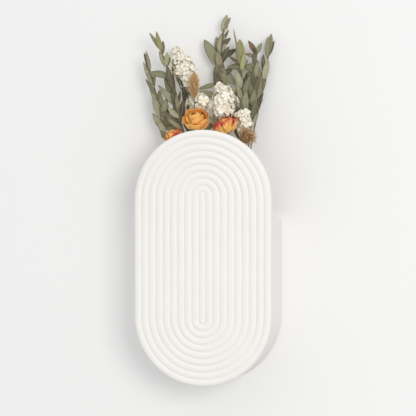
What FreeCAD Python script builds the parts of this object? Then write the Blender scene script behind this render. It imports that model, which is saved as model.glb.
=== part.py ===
import FreeCAD, Part
import math
import os
import Sketcher
from FreeCAD import Vector

doc = FreeCAD.newDocument("wall_vase")

# Driving sizes in millimetres, with the counts that go with them
driving = {
    "panel_width": 115,        # front panel, a tall plate with round ends
    "panel_height": 210,
    "panel_base": 5,           # from the back face to the valleys between the ribs
    "rib_rise": 1.8,
    "rib_rings": 9,
    "bar_half": 2.65,          # half the width of the bar in the middle of the ribs
    "edge_chamfer": 0.8,
    "pocket_depth": 45,        # pocket behind the panel, open at its rim
    "pocket_wall": 3,
    "pocket_back": 4,
    "pocket_inset": 1,         # how far the pocket stays inside the panel's edge
    "pocket_round": 2,
    "rim_round": 0.8,
    "rim_drop": 72,            # from the panel's top down to the rim
    "hang_drop": 26,           # from the rim down to the wall screw
    "tongue_width": 2,         # rib on the panel's back that locates the pocket
    "tongue_height": 3,
    "tongue_drop": 6,
    "tongue_gap": 0.2,
    "boss_margin": 3,          # thick place in the pocket's back, round the hanger
    "boss_height": 3.5,
    "plate_half": 9,           # keyhole plate, let into the back
    "plate_thick": 1.5,
    "plate_gap": 0.2,
    "plate_rise": 10,          # its fixing screws, above and below the wall screw
    "plate_drop": 24,
    "keyhole_travel": 10,
    "slot_gap": 0.2,
    "entry_gap": 0.6,
    "fixing_radius": 1.4,      # countersunk screws that hold the plate
    "fixing_head": 2.5,
    "fixing_length": 6,
    "fixing_point": 1.2,
    "fixing_gap": 0.15,
    "pilot_gap": 0.05,
    "recess_half": 0.3,        # cross recess in the screw heads
    "recess_reach": 1.5,
    "recess_depth": 0.6,
    "shank_radius": 2,         # wall screw
    "shank_reach": 28,
    "shank_point": 3,
    "head_radius": 4,
    "head_height": 2.6,
    "head_edge": 1.2,
    "head_flat": 2.4,
    "head_gap": 0.3,
    "head_room": 0.7,
    "head_side_gap": 0.6,
    "plug_radius": 3,          # plug in the wall round the screw
    "plug_length": 30,
    "plug_gap": 0.05,
    "plug_collar": 10,
    "slit_width": 1,
    "bumper_radius": 5,        # soft bumpers between the pocket and the wall
    "bumper_height": 1.5,
    "bumper_round": 0.5,
    "bumper_spread": 30,
    "bumper_drop": 76,
    "bunch_rise": 84,          # dried bunch: about how far it stands above the panel
    "stem_radius": 0.9,
    "foot_pitch": 2.8,
    "foot_gap": 0.3,
    "leaf_length": 18,
    "leaf_width": 6.4,
    "leaf_thick": 0.6,
    "floret_radius": 2.6,
    "core_radius": 6,
    "cup_radius": 10.5,
    "cup_height": 11,
    "spike_radius": 4.2,
    "spike_length": 18,
    "band_rise": 9,            # rubber band round the stems
    "band_height": 4,
    "band_thick": 1,
    "band_gap": 0.3,
    "overrun": 1,              # how far a cut runs past the solid
}

sheet = doc.addObject("Spreadsheet::Sheet", "sizes")
for row, (alias, value) in enumerate(driving.items(), start=1):
    sheet.set(f"A{row}", alias)
    sheet.set(f"B{row}", str(value))
    sheet.setAlias(f"B{row}", alias)
doc.recompute()


def mm(alias):
    return float(sheet.get(alias))


# Places worked out from the driving sizes: heights from the wall screw, depths from the wall
half_width = "(sizes.panel_width / 2)"
panel_top = "(sizes.hang_drop + sizes.rim_drop)"
panel_bottom = f"({panel_top} - sizes.panel_height)"
arc_high = f"({panel_top} - {half_width})"
arc_low = f"({panel_bottom} + {half_width})"
pocket_half = f"({half_width} - sizes.pocket_inset)"
inner_half = f"({pocket_half} - sizes.pocket_wall)"
panel_back = "(sizes.bumper_height + sizes.pocket_depth)"
valley = f"({panel_back} + sizes.panel_base)"
crest = f"({valley} + sizes.rib_rise)"
pitch = f"(({half_width} - sizes.bar_half) / sizes.rib_rings)"
rib_radius = f"({pitch} * {pitch} / (8 * sizes.rib_rise) + sizes.rib_rise / 2)"
plate_face = "(sizes.bumper_height + sizes.plate_thick)"
back_inside = "(sizes.bumper_height + sizes.pocket_back)"
head_under = f"({plate_face} + sizes.head_gap)"
head_top = f"({head_under} + sizes.head_height)"
slot_half = "(sizes.shank_radius + sizes.slot_gap)"
entry_radius = "(sizes.head_radius + sizes.entry_gap)"
fixing_hole = "(sizes.fixing_radius + sizes.fixing_gap)"
fixing_levels = ["sizes.plate_rise", "-sizes.plate_drop"]


def new_body(label):
    body = doc.addObject("PartDesign::Body", label)
    body.Label = label
    return body


def origin_plane(body, role):
    return next(f for f in body.Origin.OriginFeatures if f.Role == role)


def new_sketch(body, name, role, offset="0"):
    sketch = body.newObject("Sketcher::SketchObject", name)
    sketch.AttachmentSupport = (origin_plane(body, role), [""])
    sketch.MapMode = "FlatFace"
    sketch.setExpression("AttachmentOffset.Base.z", offset)
    return sketch


def hold(sketch, kind, place, rule):
    index = sketch.addConstraint(Sketcher.Constraint(kind, *place, sketch.evalExpression(rule)))
    sketch.setExpression(f"Constraints[{index}]", rule)


# The centre of an arc between two points, where its level on one axis is given
def arc_centre(start, end, axis, level):
    if axis == "x":
        start, end = Vector(start.y, start.x, 0), Vector(end.y, end.x, 0)
    rise = (end.y - level) ** 2 - (start.y - level) ** 2
    other = (end.x ** 2 - start.x ** 2 + rise) / (2 * (end.x - start.x))
    return Vector(level, other, 0) if axis == "x" else Vector(other, level, 0)


# A closed outline. A corner is (x, y), or (x, y, axis, level, turn) where an arc follows it:
# the arc's centre lies at that level on that axis, and turn is 1 for anticlockwise, -1 for clockwise
def outline(sketch, corners):
    spots = [Vector(sketch.evalExpression(c[0]), sketch.evalExpression(c[1]), 0) for c in corners]
    ends = []
    for index, corner in enumerate(corners):
        start = spots[index]
        end = spots[(index + 1) % len(spots)]
        if len(corner) == 2:
            ends.append((sketch.addGeometry(Part.LineSegment(start, end)), 1, 2))
            continue
        axis, level, turn = corner[2:]
        centre = arc_centre(start, end, axis, sketch.evalExpression(level))
        circle = Part.Circle(centre, Vector(0, 0, 1), (start - centre).Length)
        first, last = (start, end) if turn > 0 else (end, start)
        angles = [math.atan2(p.y - centre.y, p.x - centre.x) for p in (first, last)]
        order = (1, 2) if turn > 0 else (2, 1)
        ends.append((sketch.addGeometry(Part.ArcOfCircle(circle, *angles)), *order))
    for index, corner in enumerate(corners):
        segment, begin, finish = ends[index]
        following = ends[(index + 1) % len(ends)]
        sketch.addConstraint(Sketcher.Constraint("Coincident", segment, finish, following[0], following[1]))
        hold(sketch, "DistanceX", (-1, 1, segment, begin), corner[0])
        hold(sketch, "DistanceY", (-1, 1, segment, begin), corner[1])
        if len(corner) > 2:
            hold(sketch, "DistanceX" if corner[2] == "x" else "DistanceY", (-1, 1, segment, 3), corner[3])


def ring(sketch, x, y, radius):
    centre = Vector(sketch.evalExpression(x), sketch.evalExpression(y), 0)
    index = sketch.addGeometry(Part.Circle(centre, Vector(0, 0, 1), sketch.evalExpression(radius)))
    hold(sketch, "DistanceX", (-1, 1, index, 3), x)
    hold(sketch, "DistanceY", (-1, 1, index, 3), y)
    hold(sketch, "Radius", (index,), radius)


# A plate outline with two straight sides and two round ends, centred at the low and high levels
def round_ended(sketch, half, low, high):
    right_side = [(half, low), (half, high, "y", high, 1)]
    left_side = [(f"-{half}", high), (f"-{half}", low, "y", low, 1)]
    outline(sketch, right_side + left_side)


# Straight sides that end in a half circle below, flat across the top
def pocket_outline(sketch, half, top):
    left_side = [(f"-{half}", top), (f"-{half}", arc_low, "y", arc_low, 1)]
    right_side = [(half, arc_low), (half, top)]
    outline(sketch, left_side + right_side)


def cross(sketch, level):
    arm = "sizes.recess_reach"
    thin = "sizes.recess_half"
    quarter = [(arm, thin), (thin, thin), (thin, arm)]
    corners = []
    for turn in range(4):
        for x, y in quarter:
            across, up = [(x, y), (f"-{y}", x), (f"-{x}", f"-{y}"), (y, f"-{x}")][turn]
            corners.append((across, f"{level} + ({up})"))
    outline(sketch, corners)


def add_feature(body, kind, sketch, length, reverse=False):
    feature = body.newObject(f"PartDesign::{kind}", f"{sketch.Name}_{kind.lower()}")
    feature.Profile = sketch
    feature.setExpression("Length", length)
    feature.Reversed = reverse
    return feature


def pad(body, sketch, length, reverse=False):
    return add_feature(body, "Pad", sketch, length, reverse)


# A cut has to take material away, or it points the wrong way
def cut(body, sketch, length, reverse=False, both_ways=False):
    doc.recompute()
    before = body.Shape.Volume
    feature = add_feature(body, "Pocket", sketch, length, reverse)
    if both_ways:
        feature.SideType = "Symmetric"
    doc.recompute()
    if body.Shape.Volume >= before:
        raise RuntimeError(f"{feature.Name} cuts nothing")
    return feature


def turn_solid(body, sketch, angle=360, reverse=False):
    feature = body.newObject("PartDesign::Revolution", f"{sketch.Name}_turn")
    feature.Profile = sketch
    feature.ReferenceAxis = (sketch, ["V_Axis"])
    feature.Angle = angle
    feature.Reversed = reverse
    return feature


# Rounds or chamfers the edges of the body that a test picks out
def ease_edges(body, kind, size, test):
    doc.recompute()
    tip = body.Tip
    names = [f"Edge{i}" for i, edge in enumerate(tip.Shape.Edges, start=1) if test(edge)]
    feature = body.newObject(f"PartDesign::{kind}", f"{body.Label}_{kind.lower()}")
    feature.Base = (tip, names)
    feature.setExpression("Radius" if kind == "Fillet" else "Size", size)
    return feature


tiny = mm("overrun") / 1000


def flat_in_y(edge, depth):
    box = edge.BoundBox
    return abs(box.YMin + depth) < tiny and box.YLength < tiny


# Front panel: ribs run round it side by side, from the bar in the middle to the edge
panel = new_body("front_panel")


def panel_section(name, level):
    sketch = new_sketch(panel, name, "XY_Plane", level)
    corners = [
        ("0", f"-{panel_back}"),
        (f"{half_width} - sizes.edge_chamfer", f"-{panel_back}"),
        (half_width, f"-{panel_back} - sizes.edge_chamfer"),
    ]
    for index in range(int(mm("rib_rings")), 0, -1):
        rib_side = f"sizes.bar_half + {index} * {pitch}"
        corners.append((rib_side, f"-{valley}", "y", f"{rib_radius} - {crest}", -1))
    corners.append(("sizes.bar_half", f"-{valley}", "x", "0", -1))
    corners.append(("0", f"-{crest}"))
    outline(sketch, corners)
    return sketch


section_low = panel_section("section_low", arc_low)
section_high = panel_section("section_high", arc_high)
straight_half = pad(panel, section_low, f"{arc_high} - {arc_low}")
both_halves = panel.newObject("PartDesign::Mirrored", "both_halves")
both_halves.Originals = [straight_half]
both_halves.MirrorPlane = (origin_plane(panel, "YZ_Plane"), [""])
panel.Tip = both_halves
turn_solid(panel, section_low, angle=180)
turn_solid(panel, section_high, angle=180, reverse=True)

tongue = new_sketch(panel, "tongue", "XZ_Plane", panel_back)
tongue_out = f"({inner_half} - sizes.tongue_gap)"
tongue_in = f"({tongue_out} - sizes.tongue_width)"
tongue_top = "(sizes.hang_drop - sizes.tongue_drop)"
outline(tongue, [
    (f"-{tongue_out}", tongue_top),
    (f"-{tongue_out}", arc_low, "y", arc_low, 1),
    (tongue_out, arc_low),
    (tongue_out, tongue_top),
    (tongue_in, tongue_top),
    (tongue_in, arc_low, "y", arc_low, -1),
    (f"-{tongue_in}", arc_low),
    (f"-{tongue_in}", tongue_top),
])
pad(panel, tongue, "sizes.tongue_height", reverse=True)

# Pocket shell: a flat-backed trough that closes against the panel
pocket = new_body("pocket_shell")
pocket_outside = new_sketch(pocket, "pocket_outside", "XZ_Plane", "sizes.bumper_height")
pocket_outline(pocket_outside, pocket_half, "sizes.hang_drop")
pad(pocket, pocket_outside, "sizes.pocket_depth")
pocket_inside = new_sketch(pocket, "pocket_inside", "XZ_Plane", panel_back)
pocket_outline(pocket_inside, inner_half, "sizes.hang_drop + sizes.overrun")
cut(pocket, pocket_inside, "sizes.pocket_depth - sizes.pocket_back")
ease_edges(pocket, "Fillet", "sizes.pocket_round", lambda edge: flat_in_y(edge, mm("bumper_height")))


def on_rim(edge):
    box = edge.BoundBox
    level = abs(box.ZMin - mm("hang_drop")) < tiny and box.ZLength < tiny
    at_front = flat_in_y(edge, sheet.evalExpression(panel_back))
    return level and not at_front and edge.Length > mm("pocket_wall") + tiny


ease_edges(pocket, "Fillet", "sizes.rim_round", on_rim)
boss = new_sketch(pocket, "boss", "XZ_Plane", back_inside)
round_ended(boss, "(sizes.plate_half + sizes.boss_margin)", "-sizes.plate_drop", "sizes.plate_rise")
pad(pocket, boss, "sizes.boss_height")
plate_seat = new_sketch(pocket, "plate_seat", "XZ_Plane", "sizes.bumper_height")
round_ended(plate_seat, "(sizes.plate_half + sizes.plate_gap)", "-sizes.plate_drop", "sizes.plate_rise")
cut(pocket, plate_seat, "sizes.plate_thick", reverse=True)
head_seat = new_sketch(pocket, "head_seat", "XZ_Plane", plate_face)
round_ended(head_seat, "(sizes.head_radius + sizes.head_side_gap)", "-sizes.keyhole_travel", "0")
cut(pocket, head_seat, f"{head_top} + sizes.head_room - {plate_face}", reverse=True)
pilots = new_sketch(pocket, "pilots", "XZ_Plane", plate_face)
for level in fixing_levels:
    ring(pilots, "0", level, "sizes.fixing_radius + sizes.pilot_gap")
cut(pocket, pilots, "sizes.fixing_length + sizes.pilot_gap - sizes.plate_thick", reverse=True)

# Keyhole plate: the screw's head goes in at the round end, and the slot slides down onto its shank
plate = new_body("keyhole_plate")
plate_outline = new_sketch(plate, "plate_outline", "XZ_Plane", "sizes.bumper_height")
round_ended(plate_outline, "sizes.plate_half", "-sizes.plate_drop", "sizes.plate_rise")
slot_end = f"(sqrt({entry_radius} ^ 2 - {slot_half} ^ 2) - sizes.keyhole_travel)"
outline(plate_outline, [
    (slot_half, slot_end),
    (slot_half, "0", "y", "0", 1),
    (f"-{slot_half}", "0"),
    (f"-{slot_half}", slot_end, "y", "-sizes.keyhole_travel", 1),
])
for level in fixing_levels:
    ring(plate_outline, "0", level, fixing_hole)
pad(plate, plate_outline, "sizes.plate_thick")


def is_fixing_mouth(edge):
    round_edge = isinstance(edge.Curve, Part.Circle) and len(edge.Vertexes) == 1
    return round_edge and flat_in_y(edge, mm("bumper_height"))


ease_edges(plate, "Chamfer", "sizes.fixing_head - sizes.fixing_radius", is_fixing_mouth)

# Countersunk screws, two alike, flush with the plate's back
fixings = new_body("hanger_screws")
fixing_tip = "(sizes.bumper_height + sizes.fixing_length)"
for number, level in enumerate(fixing_levels, start=1):
    fixing = new_sketch(fixings, f"fixing_{number}", "XY_Plane", level)
    outline(fixing, [
        ("0", "-sizes.bumper_height"),
        ("sizes.fixing_head", "-sizes.bumper_height"),
        ("sizes.fixing_radius", "sizes.fixing_radius - sizes.fixing_head - sizes.bumper_height"),
        ("sizes.fixing_radius", f"sizes.fixing_point - {fixing_tip}"),
        ("0", f"-{fixing_tip}"),
    ])
    turn_solid(fixings, fixing)
    recess = new_sketch(fixings, f"fixing_recess_{number}", "XZ_Plane", "sizes.bumper_height")
    cross(recess, level)
    cut(fixings, recess, "sizes.recess_depth", reverse=True)

# Wall screw, turned about the line that it is driven along
head_dome_share = 0.125
dome_centre = f"(sizes.head_flat - {head_dome_share} * (sizes.head_height - sizes.head_edge))"
wall_screw = new_body("wall_screw")
screw_section = new_sketch(wall_screw, "screw_section", "XY_Plane")
outline(screw_section, [
    ("0", f"-{head_top}"),
    ("sizes.head_flat", f"-{head_top}", "x", dome_centre, 1),
    ("sizes.head_radius", f"-{head_under} - sizes.head_edge"),
    ("sizes.head_radius", f"-{head_under}"),
    ("sizes.shank_radius", f"-{head_under}"),
    ("sizes.shank_radius", "sizes.shank_reach - sizes.shank_point"),
    ("0", "sizes.shank_reach"),
])
turn_solid(wall_screw, screw_section)
screw_recess = new_sketch(wall_screw, "screw_recess", "XZ_Plane", head_top)
cross(screw_recess, "0")
cut(wall_screw, screw_recess, "sizes.recess_depth")

# Wall plug: a sleeve that the screw spreads, split along most of its length
wall_plug = new_body("wall_plug")
plug_section = new_sketch(wall_plug, "plug_section", "XY_Plane")
plug_bore = "(sizes.shank_radius + sizes.plug_gap)"
outline(plug_section, [
    (plug_bore, "0"),
    ("sizes.plug_radius", "0"),
    ("sizes.plug_radius", "sizes.plug_length"),
    (plug_bore, "sizes.plug_length"),
])
turn_solid(wall_plug, plug_section)
slit = new_sketch(wall_plug, "slit", "XY_Plane")
outline(slit, [
    ("-sizes.slit_width / 2", "sizes.plug_collar"),
    ("sizes.slit_width / 2", "sizes.plug_collar"),
    ("sizes.slit_width / 2", "sizes.plug_length + sizes.overrun"),
    ("-sizes.slit_width / 2", "sizes.plug_length + sizes.overrun"),
])
cut(wall_plug, slit, "2 * (sizes.plug_radius + sizes.overrun)", both_ways=True)

# Soft bumpers, two alike, low on the pocket's back
bumpers = new_body("wall_bumpers")
bumper_rings = new_sketch(bumpers, "bumper_rings", "XZ_Plane")
for side in ("-", ""):
    ring(bumper_rings, f"{side}sizes.bumper_spread", "-sizes.bumper_drop", "sizes.bumper_radius")
pad(bumpers, bumper_rings, "sizes.bumper_height")
ease_edges(bumpers, "Fillet", "sizes.bumper_round", lambda edge: flat_in_y(edge, 0))

# The dried bunch. A sprig stands on its seat, a place in the grid of stems on the pocket's floor.
# Its rim is where it passes the pocket's rim and its tip is its end. Shares are of the panel's width
# across, of the pocket's depth out from its back, and of the bunch's rise above the panel's top.
# A leaf is (share of the visible height, degrees from upright, shares of the full length and width).
sprig_shares = {
    "eucalyptus_sprig_1": {
        "seat": (-2, 1), "rim": (-0.22, 0.43), "tip": (-0.47, 0.36, 0.64),
        "leaves": [
            (0.93, -19, 1.0, 0.4), (0.95, -5, 0.95, 0.55), (0.71, -30, 1.25, 0.65), (0.7, -2, 0.75, 0.4),
            (0.57, -31, 0.9, 0.45), (0.22, -6, 1.35, 1.2), (0.22, -26, 1.05, 1.05), (0.23, 23, 1.0, 0.75),
            (0.01, -37, 1.1, 0.85), (0.03, 10, 0.95, 0.95), (-0.14, -31, 0.55, 0.7),
        ],
    },
    "eucalyptus_sprig_2": {
        "seat": (-2, 2), "rim": (-0.09, 0.57), "tip": (-0.365, 0.54, 0.82),
        "leaves": [
            (0.98, -33, 1.0, 0.42), (0.98, -10, 0.9, 0.75), (0.93, -2, 0.65, 0.45),
            (0.78, -25, 0.85, 0.6), (0.79, 7, 0.65, 0.65), (0.78, 19, 0.5, 0.55), (0.66, -75, 1.05, 0.9),
            (0.52, -11, 1.05, 0.75), (0.32, -25, 1.5, 1.05), (0.29, -37, 1.35, 0.8), (0.23, -6, 0.8, 0.5),
            (0.16, -50, 0.8, 0.75), (0.0, -46, 1.35, 0.9), (0.02, -51, 0.8, 0.65), (0.12, 4, 1.05, 0.7),
        ],
    },
    "eucalyptus_sprig_3": {
        "seat": (0, 0), "rim": (-0.025, 0.20), "tip": (0.07, 0.18, 1.025),
        "leaves": [
            (0.96, 12, 0.85, 0.8), (1.0, 42, 0.65, 0.55), (0.88, 25, 0.6, 0.37), (0.76, 3, 1.0, 1.2),
            (0.84, 53, 0.57, 0.55), (0.75, -23, 0.92, 0.83), (0.62, -29, 1.48, 1.35),
            (0.62, -4, 0.75, 0.9), (0.72, 59, 0.78, 0.68), (0.47, -5, 0.85, 1.05),
            (0.63, 152, 0.98, 1.25), (0.47, -25, 0.45, 0.4), (0.47, -101, 1.05, 0.6),
            (0.34, -74, 0.9, 0.95), (0.44, 24, 0.7, 0.37), (0.55, 8, 0.8, 0.8),
        ],
    },
    "eucalyptus_sprig_4": {
        "seat": (2, 1), "rim": (0.205, 0.36), "tip": (0.214, 0.33, 0.675),
        "leaves": [
            (0.97, -4, 1.2, 1.2), (0.95, -9, 1.7, 0.3), (0.95, -94, 0.65, 0.78), (0.98, -53, 0.64, 0.45),
            (0.88, 12, 0.85, 0.65), (0.52, -61, 1.0, 0.8), (0.46, -48, 0.56, 0.57), (0.17, 9, 1.3, 0.95),
            (0.24, -8, 0.8, 0.6), (0.33, 30, 0.7, 0.6), (0.5, 22, 1.05, 0.7),
        ],
    },
    "eucalyptus_sprig_5": {
        "seat": (2, 0), "rim": (0.205, 0.30), "tip": (0.32, 0.22, 0.776),
        "leaves": [
            (0.99, -33, 0.69, 0.6), (0.98, -12, 0.36, 0.4), (0.99, 24, 0.57, 0.51), (0.82, -6, 0.7, 0.6),
            (0.78, -62, 0.5, 1.2), (0.96, -76, 0.57, 0.48), (0.51, -33, 1.6, 0.8), (0.46, -8, 1.14, 0.52),
            (0.41, -51, 1.1, 0.8), (0.53, 6, 0.79, 0.54), (0.3, 7, 0.9, 0.85), (0.1, 18, 0.95, 0.7),
            (0.0, 22, 0.95, 0.42), (0.6, -9, 0.85, 0.6), (0.18, -14, 1.2, 0.85), (0.42, 12, 1.25, 0.75),
            (0.11, 14, 1.1, 0.7),
        ],
    },
    "eucalyptus_sprig_6": {
        "seat": (1, 0), "rim": (0.18, 0.21), "tip": (0.407, 0.13, 0.807),
        "leaves": [
            (0.99, 7, 0.76, 0.6), (0.89, 1, 0.97, 0.62), (0.92, 19, 0.78, 0.43), (0.69, -6, 0.97, 0.5),
            (0.63, 15, 1.03, 0.78), (0.44, 14, 1.14, 0.8), (0.41, -3, 0.85, 0.6), (0.28, 18, 0.8, 0.4),
            (0.23, 2, 1.15, 0.7), (0.11, 8, 1.1, 0.7),
        ],
    },
}
# White heads: the florets sit on a spindle. Its length is a share of the bunch's rise, its girth one of the
# core's radius, and it is fullest at a share of its length
white_shares = {
    "white_sprig_1": {
        "seat": (-2, 0), "rim": (-0.10, 0.28), "tip": (-0.245, 0.24, 0.82),
        "head": 0.44, "girth": 1.35, "fullest": 0.62,
    },
    "white_sprig_2": {
        "seat": (0, 1), "rim": (0.075, 0.45), "tip": (0.095, 0.50, 0.43),
        "head": 0.29, "girth": 1.55, "fullest": 0.5,
    },
    "white_sprig_3": {
        "seat": (1, 2), "rim": (0.18, 0.52), "tip": (0.255, 0.53, 0.176),
        "head": 0.21, "girth": 0.8, "fullest": 0.55,
    },
    "white_sprig_4": {
        "seat": (0, 2), "rim": (-0.06, 0.38), "tip": (-0.098, 0.27, 0.335),
        "head": 0.11, "girth": 1.35, "fullest": 0.55,
    },
}
# Orange cups: the stem ends under the cup, which opens along the given direction
cup_shares = {
    "orange_flower_1": {
        "seat": (0, 3), "rim": (-0.05, 0.67), "tip": (-0.078, 0.665, 0.06),
        "opens": (0.1, -0.8, 0.6), "size": 1.05,
    },
    "orange_flower_2": {
        "seat": (1, 3), "rim": (0.07, 0.67), "tip": (0.155, 0.71, -0.02),
        "opens": (-0.42, -0.2, 0.88), "size": 0.95,
    },
    "orange_flower_3": {
        "seat": (-1, 3), "rim": (-0.14, 0.67), "tip": (-0.235, 0.68, -0.1),
        "opens": (-0.3, -0.4, 0.85), "size": 0.8,
    },
}
# Brown bristly heads, which point along the given direction from the ends of their stems
spike_shares = {
    "brown_head_1": {
        "seat": (-1, 1), "rim": (-0.105, 0.50), "tip": (-0.112, 0.56, 0.36),
        "points": (0.02, -0.1, 1.0), "tall": 1.25, "girth": 1.1,
    },
    "brown_head_2": {
        "seat": (2, 3), "rim": (0.16, 0.68), "tip": (0.253, 0.72, -0.1),
        "points": (0.78, -0.2, 0.55), "tall": 0.75, "girth": 1.6,
    },
}
seat_back_share = 0.42         # the grid's rows start here, and come forward
seat_side_share = -0.035
lean_degrees = (0, 12, -12)    # leaves lean out of the sprig's plane by turns
twist_degrees = (12, -18, 26, -8)
cup_profile_shares = [(0.10, 0.0), (0.55, 0.08), (0.90, 0.42), (1.0, 0.80), (0.88, 1.0)]
cup_inside_shares = [(0.70, 0.55), (0.66, 0.92), (0.52, 0.95), (0.38, 0.55), (0.30, 0.85), (0.0, 0.92)]
stem_runs = 8                  # a stem is cut into short straight runs
stem_sides = 8
stem_taper_share = 0.4
stem_step_share = 0.05
head_sink_share = 0.1          # how far a cup or a brown head sits down over the end of its stem
bristle_rings = 6
core_steps = 8
bristle_dip_share = 0.72
florets_per_length_share = 0.01125
floret_sit_share = 0.4         # how far a floret's root is sunk into the spindle
floret_level_share = 0.3       # the place along the spindle where florets stand square to it
floret_root_share = 0.45
floret_tall_share = 1.1
floret_petals = 5

width = mm("panel_width")
rise = mm("bunch_rise")
top_level = sheet.evalExpression(panel_top)
floor_centre = sheet.evalExpression(arc_low)
floor_radius = sheet.evalExpression(inner_half)
stem_radius = mm("stem_radius")
golden_angle = math.pi * (3 - math.sqrt(5))


def spot(across, out, level):
    return Vector(across * width, -mm("bumper_height") - out * mm("pocket_depth"), level)


def foot(seat):
    column, line = seat
    place = spot(seat_side_share, seat_back_share, 0)
    x = place.x + column * mm("foot_pitch")
    floor = floor_centre - math.sqrt(floor_radius ** 2 - x ** 2)
    return Vector(x, place.y - line * mm("foot_pitch"), floor + mm("foot_gap") + stem_radius / 2)


# A stem bends evenly, on a parabola through its foot, the pocket's rim and its tip
def stem_points(sprig):
    across, out, above = sprig["tip"]
    tip = spot(across, out, top_level + above * rise)
    return [foot(sprig["seat"]), spot(*sprig["rim"], mm("hang_drop")), tip]


def stem_at(points, level):
    place = Vector(0, 0, 0)
    for point in points:
        weight = 1
        for other in points:
            if other is not point:
                weight *= (level - other.z) / (point.z - other.z)
        place += point * weight
    return place


def tip_heading(points):
    low, high = points[1].z, points[2].z
    return (points[2] - stem_at(points, high - stem_step_share * (high - low))).normalize()


# The stem may stop short of its tip, inside the head that it carries
def stem_solid(points, short=0):
    low, high = points[0].z, points[2].z - short
    wires = []
    for step in range(stem_runs + 1):
        share = step / stem_runs
        centre = stem_at(points, low + share * (high - low))
        radius = stem_radius * (1 - share * stem_taper_share)
        corners = []
        for side in range(stem_sides + 1):
            angle = 2 * math.pi * (side % stem_sides) / stem_sides
            corners.append(centre + Vector(math.cos(angle) * radius, math.sin(angle) * radius, 0))
        wires.append(Part.makePolygon(corners))
    return Part.makeLoft(wires, True, True)


# A thin blade between two arcs, from its base on the stem to its tip
def leaf_solid(base, upright, lean, twist, length, blade_width):
    tilt, forward = math.radians(upright), math.radians(lean)
    upward = math.cos(forward)
    along = Vector(math.sin(tilt) * upward, -math.sin(forward), math.cos(tilt) * upward)
    flat = FreeCAD.Rotation(along, twist)
    side = flat.multVec(Vector(math.cos(tilt), 0, -math.sin(tilt)))
    normal = side.cross(along).normalize()
    end = base + along * length
    belly = base + along * (length / 2)
    edges = [Part.Arc(base, belly + side * (blade_width / 2 * hand), end).toShape() for hand in (1, -1)]
    thick = mm("leaf_thick")
    blade = Part.Face(Part.Wire(edges))
    blade.translate(normal * (-thick / 2))
    return blade.extrude(normal * thick)


# A turned solid: the profile is (distance from the axis, distance along it), closed along the axis
def turned(points, base, axis):
    spots = [Vector(r, 0, z) for r, z in points]
    face = Part.Face(Part.makePolygon(spots + spots[:1]))
    solid = face.revolve(Vector(0, 0, 0), Vector(0, 0, 1), 360)
    solid.Placement = FreeCAD.Placement(base, FreeCAD.Rotation(Vector(0, 0, 1), axis))
    return solid


def add_sprig(label, pieces):
    solid = pieces[0].fuse(pieces[1:])
    feature = doc.addObject("Part::Feature", label)
    feature.Label = label
    feature.Shape = solid.Solids[0] if len(solid.Solids) == 1 else solid
    feature.Placement = FreeCAD.Placement()


def leafy(sprig):
    points = stem_points(sprig)
    visible = sprig["tip"][2] * rise
    pieces = [stem_solid(points)]
    for index, (up, upright, tall, broad) in enumerate(sprig["leaves"]):
        base = stem_at(points, top_level + up * visible)
        lean = lean_degrees[index % len(lean_degrees)]
        twist = twist_degrees[index % len(twist_degrees)]
        length, blade_width = tall * mm("leaf_length"), broad * mm("leaf_width")
        pieces.append(leaf_solid(base, upright, lean, twist, length, blade_width))
    return pieces


# A floret flares from its root to a flat five-sided face
def floret_solid(root, heading, spin):
    radius = mm("floret_radius")
    frame = FreeCAD.Rotation(Vector(0, 0, 1), heading)
    wires = []
    for level, share in ((0, floret_root_share), (floret_tall_share * radius, 1)):
        ends = []
        for petal in range(floret_petals + 1):
            angle = spin + 2 * math.pi * (petal % floret_petals) / floret_petals
            corner = Vector(math.cos(angle) * share * radius, math.sin(angle) * share * radius, level)
            ends.append(root + frame.multVec(corner))
        wires.append(Part.makePolygon(ends))
    return Part.makeLoft(wires, True, True)


# How full a spindle is, from 0 at its ends to 1 where it is fullest
def fullness(along, fullest):
    return math.sin(math.pi * along ** (math.log(0.5) / math.log(fullest)))


def floretted(sprig):
    points = stem_points(sprig)
    axis = tip_heading(points)
    length = sprig["head"] * rise
    girth = sprig["girth"] * mm("core_radius")
    base = points[2] - axis * length
    core = []
    for step in range(core_steps + 1):
        along = step / core_steps
        core.append((girth * fullness(along, sprig["fullest"]), along * length))
    pieces = [stem_solid(points, length / 2), turned(core, base, axis)]
    side = axis.cross(Vector(0, 1, 0)).normalize()
    front = axis.cross(side)
    count = int(sprig["head"] * sprig["girth"] / florets_per_length_share)
    for index in range(count):
        along = (index + 0.5) / count
        skin = girth * fullness(along, sprig["fullest"]) - floret_sit_share * mm("floret_radius")
        angle = index * golden_angle
        out = side * math.cos(angle) + front * math.sin(angle)
        heading = (out + axis * (along - floret_level_share)).normalize()
        root = base + axis * (along * length) + out * max(skin, 0)
        pieces.append(floret_solid(root, heading, angle))
    return pieces


def cupped(sprig):
    points = stem_points(sprig)
    axis = Vector(*sprig["opens"]).normalize()
    profile = [(0, 0)] + cup_profile_shares + cup_inside_shares
    radius, height = sprig["size"] * mm("cup_radius"), sprig["size"] * mm("cup_height")
    section = [(r * radius, z * height) for r, z in profile]
    base = points[2] - axis * (head_sink_share * height)
    return [stem_solid(points), turned(section, base, axis)]


def spiked(sprig):
    points = stem_points(sprig)
    axis = Vector(*sprig["points"]).normalize()
    length, girth = sprig["tall"] * mm("spike_length"), sprig["girth"] * mm("spike_radius")
    section = [(0, 0)]
    for index in range(2 * bristle_rings):
        along = (index + 1) / (2 * bristle_rings + 1)
        dip = bristle_dip_share if index % 2 == 0 else 1
        section.append((girth * dip * math.sin(math.pi * along) ** 0.5, along * length))
    section.append((0, length))
    return [stem_solid(points), turned(section, points[2] - axis * (head_sink_share * length), axis)]


tables = (sprig_shares, white_shares, cup_shares, spike_shares)
for table, maker in zip(tables, (leafy, floretted, cupped, spiked)):
    for label, sprig in table.items():
        add_sprig(label, maker(sprig))

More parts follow.
